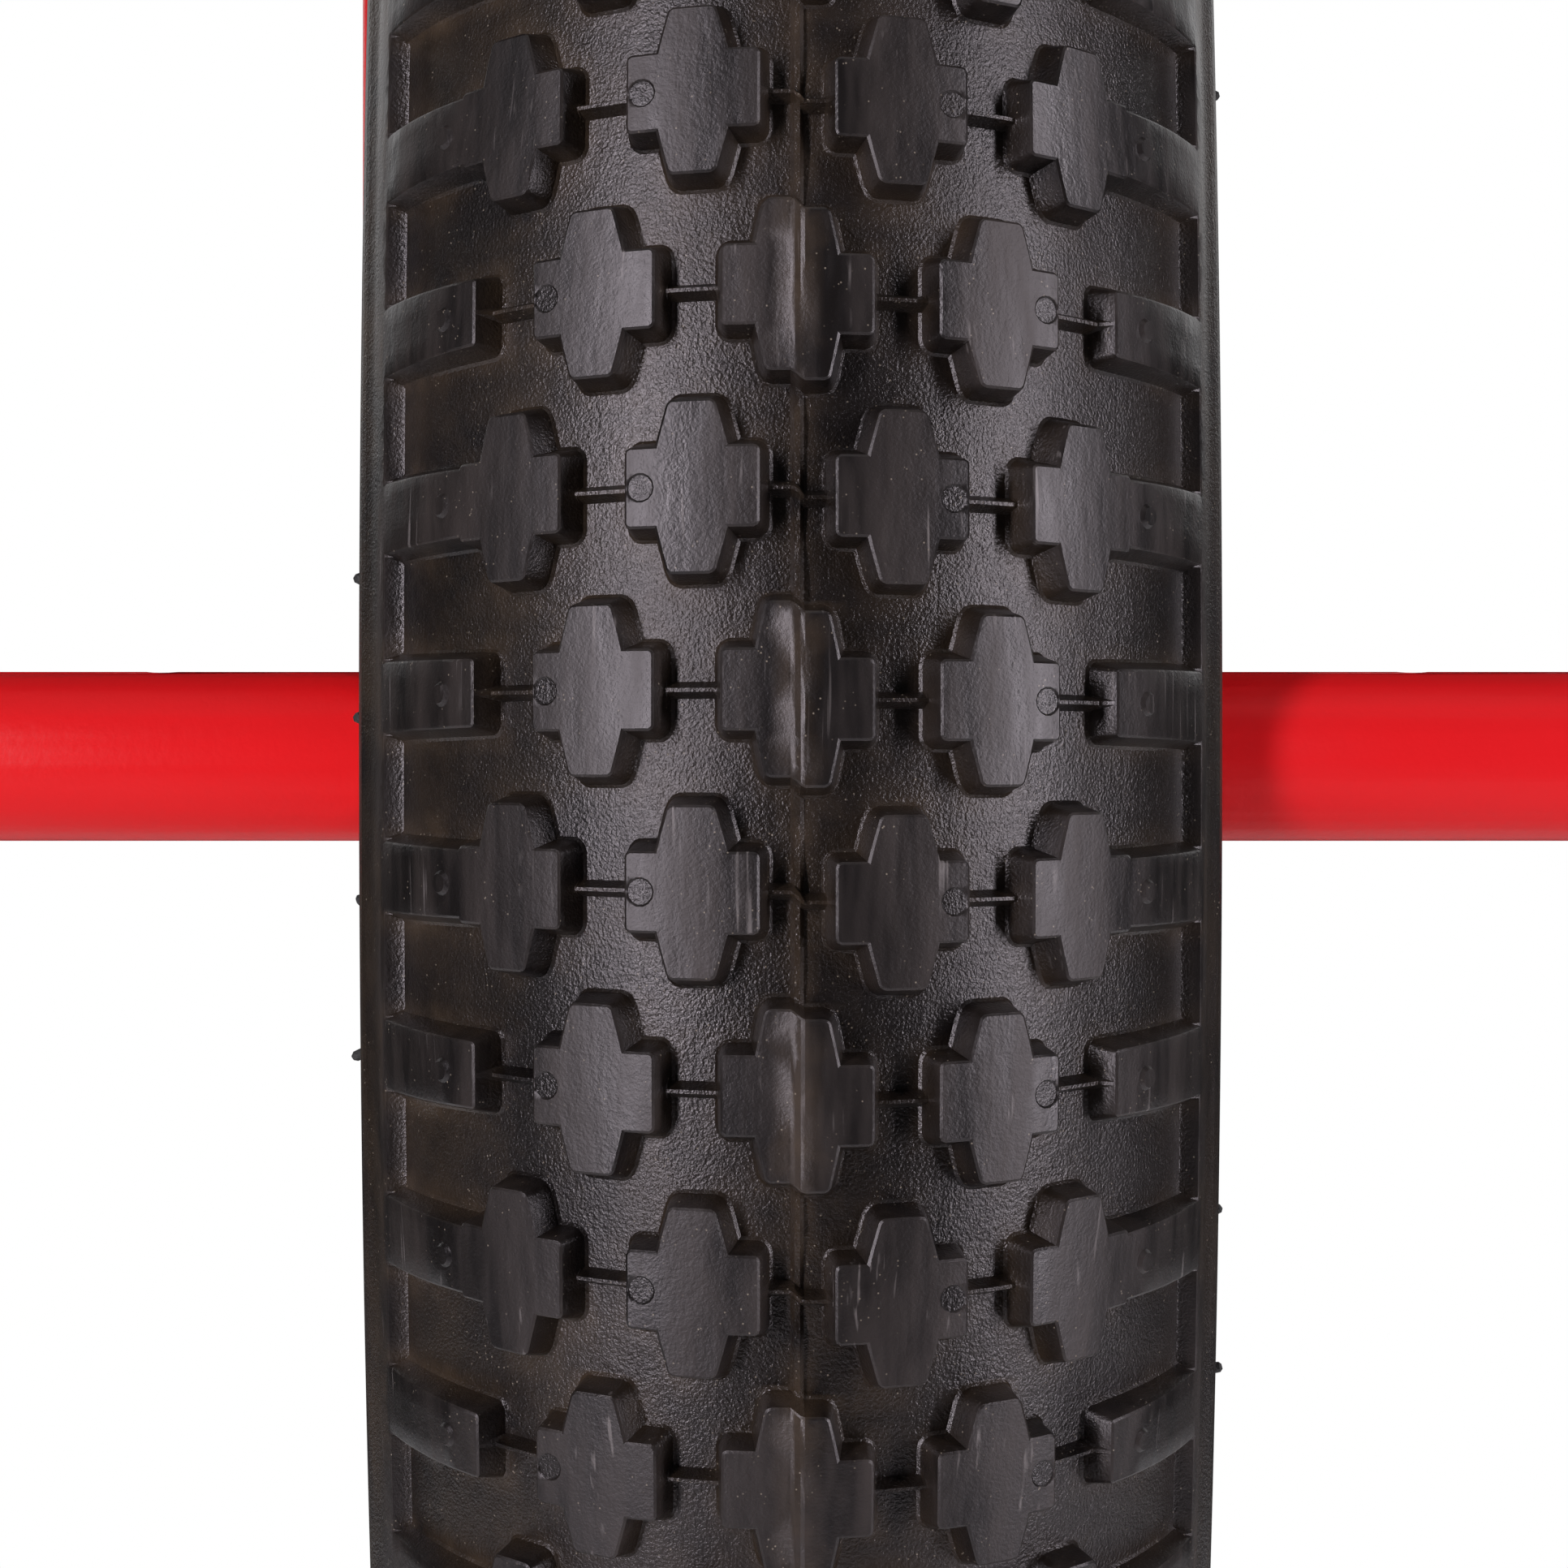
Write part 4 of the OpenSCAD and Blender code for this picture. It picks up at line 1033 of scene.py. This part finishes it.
def build_seams(piece):
    """A welt round the cushion's shoulder, and two rows of stitches each side of the
    middle. Both are laid on the skin by looking in at it from outside."""
    tree = BVHTree.FromObject(piece, bpy.context.evaluated_depsgraph_get())
    welts, threads = Solid(), Solid()
    limit = ROCK - 0.075
    steps = 80
    step = 2 * limit / steps

    def look_in(start, towards):
        place, normal, _, _ = tree.ray_cast(start, towards)
        return place, normal

    for side in (-1, 1):
        path = []
        for k in range(steps + 1):
            start = seat_point(-limit + step * k, side * 0.2, WELT_DEPTH)
            place, _ = look_in(start, Vector((-side, 0, 0)))
            if place is not None:
                path.append(place)
        radii = [WELT_R] * len(path)
        radii[0] = radii[-1] = 0.25 * WELT_R
        radii[1] = radii[-2] = 0.75 * WELT_R
        welts.tube(path, radii, 10, Vector((1, 0, 0)))
        for share in STITCH_ROWS:
            for k in range(2, steps - 2):
                points = []
                for t, lift in ((0, -0.0003), (0.2, 0.00035), (0.8, 0.00035), (1, -0.0003)):
                    along = -limit + step * (k + STITCH_LENGTH * t)
                    across = side * share * seat_half(along)
                    above = seat_point(along, across, -0.1)
                    towards = (seat_point(along, across, 0) - above).normalized()
                    place, normal = look_in(above, towards)
                    if place is not None:
                        points.append(place + normal * lift)
                if len(points) == 4:
                    radii = [0.00035, 0.00045, 0.00045, 0.00035]
                    threads.tube(points, radii, 6, Vector((1, 0, 0)))
    welt_mesh = welts.mesh("cushion_welts", 60)
    add_piece("cushion_welts", welt_mesh, "saddle", black_plastic)
    stitch_mesh = threads.mesh("cushion_stitches", 60)
    add_piece("cushion_stitches", stitch_mesh, "saddle", make_thread())


def build_base():
    """The moulded shell under the cushion, with a lowered rim for the cover's edge."""
    rows, cols = 72, 20
    bottom = SADDLE_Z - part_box("saddle_base")[0].z - SEAT_R
    top = bottom - 0.005
    upper, lower = [], []
    for i in range(rows):
        along = ROCK * ease(i, rows)
        half = smooth_value(SEAT_R * math.sin(along), PLAN_Y, PLAN_HALF)
        for j in range(cols):
            t = ease(j, cols)
            rim = 0.0025 * max(0.0, (abs(t) - 0.9) / 0.1)
            upper.append(seat_point(along, half * t, top - rim))
            lower.append(seat_point(along, half * t, bottom))
    mesh = mesh_of("seat_shell", upper + lower, slab_faces(rows, cols))
    face_outwards(mesh)
    smooth(mesh, 40)
    shell = add_piece("seat_shell", mesh, "saddle", black_plastic, ["saddle_base"])
    edge = shell.modifiers.new("edge", "BEVEL")
    edge.width = 0.0012
    edge.segments = 3
    edge.limit_method = "ANGLE"
    edge.angle_limit = math.radians(50)


# Each bumper's two ends along the rocker, in degrees, and its rounding.
BUMPERS = {"front_bumper": (-37.5, -32.15, 0.0085), "rear_bumper": (32.15, 36.0, 0.0075)}
BUMPER_TOP = 0.0125
BUMPER_DEEP = 0.0495
GRIP_HEIGHT = 0.0009
GRIP_PITCH = 0.0062


def rounded_box(half, radius, steps=18):
    """A box with round edges, as an open bmesh of fine square faces."""
    form = bmesh.new()
    bmesh.ops.create_cube(form, size=2)
    bmesh.ops.subdivide_edges(form, edges=form.edges, cuts=steps, use_grid_fill=True)
    for vertex in form.verts:
        full = Vector(c * h for c, h in zip(vertex.co, half))
        core = Vector(max(-(h - radius), min(h - radius, f)) for f, h in zip(full, half))
        away = full - core
        vertex.co = core + (radius * away.normalized() if away.length > 1e-9 else away)
    return form


def build_bumpers():
    """Moulded end guards with a ribbed grip on the outer face."""
    outer_r = SEAT_R + BUMPER_DEEP
    for name, (start, end, radius) in BUMPERS.items():
        low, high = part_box(name)
        half_x = (high.x - low.x) / 2
        half_along = math.radians(end - start) / 2 * outer_r
        half_deep = (BUMPER_DEEP - BUMPER_TOP) / 2
        outward = math.copysign(1, start)
        form = rounded_box((half_x, half_along, half_deep), radius)
        for vertex in form.verts:
            x, y, z = vertex.co
            reach = half_along + outward * y
            y = outward * (reach * (0.25 + 0.75 * reach / (2 * half_along)) - half_along)
            face = max(0.0, outward * y / half_along) ** 6
            inside = max(0.0, 1 - (x / (half_x - radius)) ** 2)
            wave = math.cos(2 * math.pi * z / GRIP_PITCH) * min(1, 3 * inside)
            grip = outward * GRIP_HEIGHT * face * (wave - 1)
            along = math.radians((start + end) / 2) + (y + grip) / outer_r
            vertex.co = seat_point(along, x, (BUMPER_TOP + BUMPER_DEEP) / 2 + z)
        mesh = bpy.data.meshes.new(name)
        form.to_mesh(mesh)
        form.free()
        face_outwards(mesh)
        smooth(mesh, 50)
        add_piece("moulded_" + name, mesh, "saddle", black_plastic, [name])


# ---- CAD nodes ------------------------------------------------------------


def dress(names, bevel, segments=2):
    """Welds and rounds the edges of CAD nodes."""
    for name in names:
        node = nodes[name]
        weld = node.modifiers.new("weld", "WELD")
        weld.merge_threshold = 0.00001
        rounding = node.modifiers.new("rounding", "BEVEL")
        rounding.width = bevel
        rounding.segments = segments
        rounding.limit_method = "ANGLE"
        rounding.angle_limit = math.radians(40)
        rounding.harden_normals = True


# The nodes that take each material. The others are painted, or are parts of a pedal.
NODE_LOOKS = {
    alloy: "rim hub_shell axle_sleeve",
    black_alloy: "bb_cups clamp_collar clamp_nut clamp_lever crank_left crank_right",
    chrome: "spokes_left spokes_right spoke_nipples valve_stem valve_nut axle_nuts seat_post",
    steel: "hub_bearings sprocket_lockring axle axle_spacers peg_washers bb_bearings clamp_bolt"
    " clamp_pivot_pin crank_axle crank_bolts chainring_bolts saddle_bolts",
    oiled: "wheel_sprocket crank_sprocket",
    rubber: "inner_tube",
    black_plastic: "rim_tape valve_cap",
}


def dress_nodes():
    """Gives every CAD node its material, and rounds the edges of some."""
    looks = {name: look for look, names in NODE_LOOKS.items() for name in names.split()}
    for name, node in nodes.items():
        if name.startswith("pedal_body"):
            look = red_plastic
        elif name.startswith("pedal_cap"):
            look = black_plastic
        elif name.startswith("pedal_"):
            look = steel
        else:
            look = looks.get(name, paint)
        node.data.materials.clear()
        node.data.materials.append(look)
    dress(["fork_crown"], 0.0025, 4)
    dress(["pedal_body_left", "pedal_body_right", "crank_left", "crank_right"], 0.0008, 3)
    dress(["peg_left", "peg_right", "clamp_collar", "clamp_lever"], 0.0006, 3)
    dress(["dropout_left", "dropout_right", "bottom_bracket_shell", "seat_tube"], 0.0004)


# ---- studio ---------------------------------------------------------------


def add_light(name, place, target, width, height, power, colour=(1, 1, 1)):
    """A rectangle of light at a place, turned to a target."""
    data = bpy.data.lights.new(name, "AREA")
    data.shape = "RECTANGLE"
    data.size, data.size_y = width, height
    data.energy = power
    data.color = colour
    lamp = bpy.data.objects.new(name, data)
    scene.collection.objects.link(lamp)
    lamp.location = place
    lamp.rotation_euler = (Vector(target) - Vector(place)).to_track_quat("-Z", "Y").to_euler()


def build_lights():
    """Two narrow boxes that streak the tread, and soft light for the whole object."""
    front = Vector((0, tyre_low.y, AXLE_Z))
    cool = (0.97, 0.95, 1.0)
    away = 1.5
    for name, azimuth, power in (("left_box", -41, 25), ("right_box", 66, 20)):
        turn = math.radians(azimuth)
        place = front + away * Vector((math.sin(turn), -math.cos(turn), 0.12))
        add_light(name, place, front, 0.13, 1.5, power, cool)
    middle = Vector((0, 0, 0.75))
    for name, place, width, height, power in (
        ("overhead", (0, -0.9, 3.4), 2.4, 2.4, 11),
        ("left_wall", (-3.0, -1.2, 1.2), 1.6, 2.4, 4),
        ("right_wall", (3.0, -1.2, 1.2), 1.6, 2.4, 4),
        ("back_left", (-2.2, 2.6, 1.8), 1.6, 2.0, 14),
        ("back_right", (2.2, 2.6, 1.8), 1.6, 2.0, 14),
    ):
        add_light(name, place, middle, width, height, power)


def build_world():
    """White behind the object, and a faint light from all round."""
    world = bpy.data.worlds.new("studio")
    scene.world = world
    world.use_nodes = True
    tree = world.node_tree
    background = tree.nodes["Background"]
    seen = tree.nodes.new("ShaderNodeLightPath").outputs["Is Camera Ray"]
    strength = tree.nodes.new("ShaderNodeMapRange")
    strength.inputs["To Min"].default_value = 0.03
    strength.inputs["To Max"].default_value = 1.0
    tree.links.new(seen, strength.inputs["Value"])
    tree.links.new(strength.outputs["Result"], background.inputs["Strength"])
    background.inputs["Color"].default_value = (1, 1, 1, 1)


def build_floor():
    """A pale disc that takes the shadow and fades into the white behind it."""
    mesh = bpy.data.meshes.new("floor")
    form = bmesh.new()
    bmesh.ops.create_circle(form, cap_ends=True, segments=64, radius=1.0)
    form.to_mesh(mesh)
    form.free()
    floor = bpy.data.objects.new("floor", mesh)
    scene.collection.objects.link(floor)
    look = Look("floor", (0.88, 0.88, 0.89), 0.8)
    look.set("Emission Color", (1, 1, 1, 1))
    look.set("Emission Strength", 0.34)
    look.set("Specular IOR Level", 0.1)
    look.set("Alpha", look.span(look.length(), 0.42, 0.84, 1.0, 0.0))
    look.bump(look.noise(40, 2), 0.0001)
    mesh.materials.append(look.material)


scene.view_settings.view_transform = "Standard"
dress_nodes()
build_tyre()
build_tyre_whiskers()
build_chain()
build_seams(build_cushion())
build_base()
build_bumpers()
build_lights()
build_world()
build_floor()
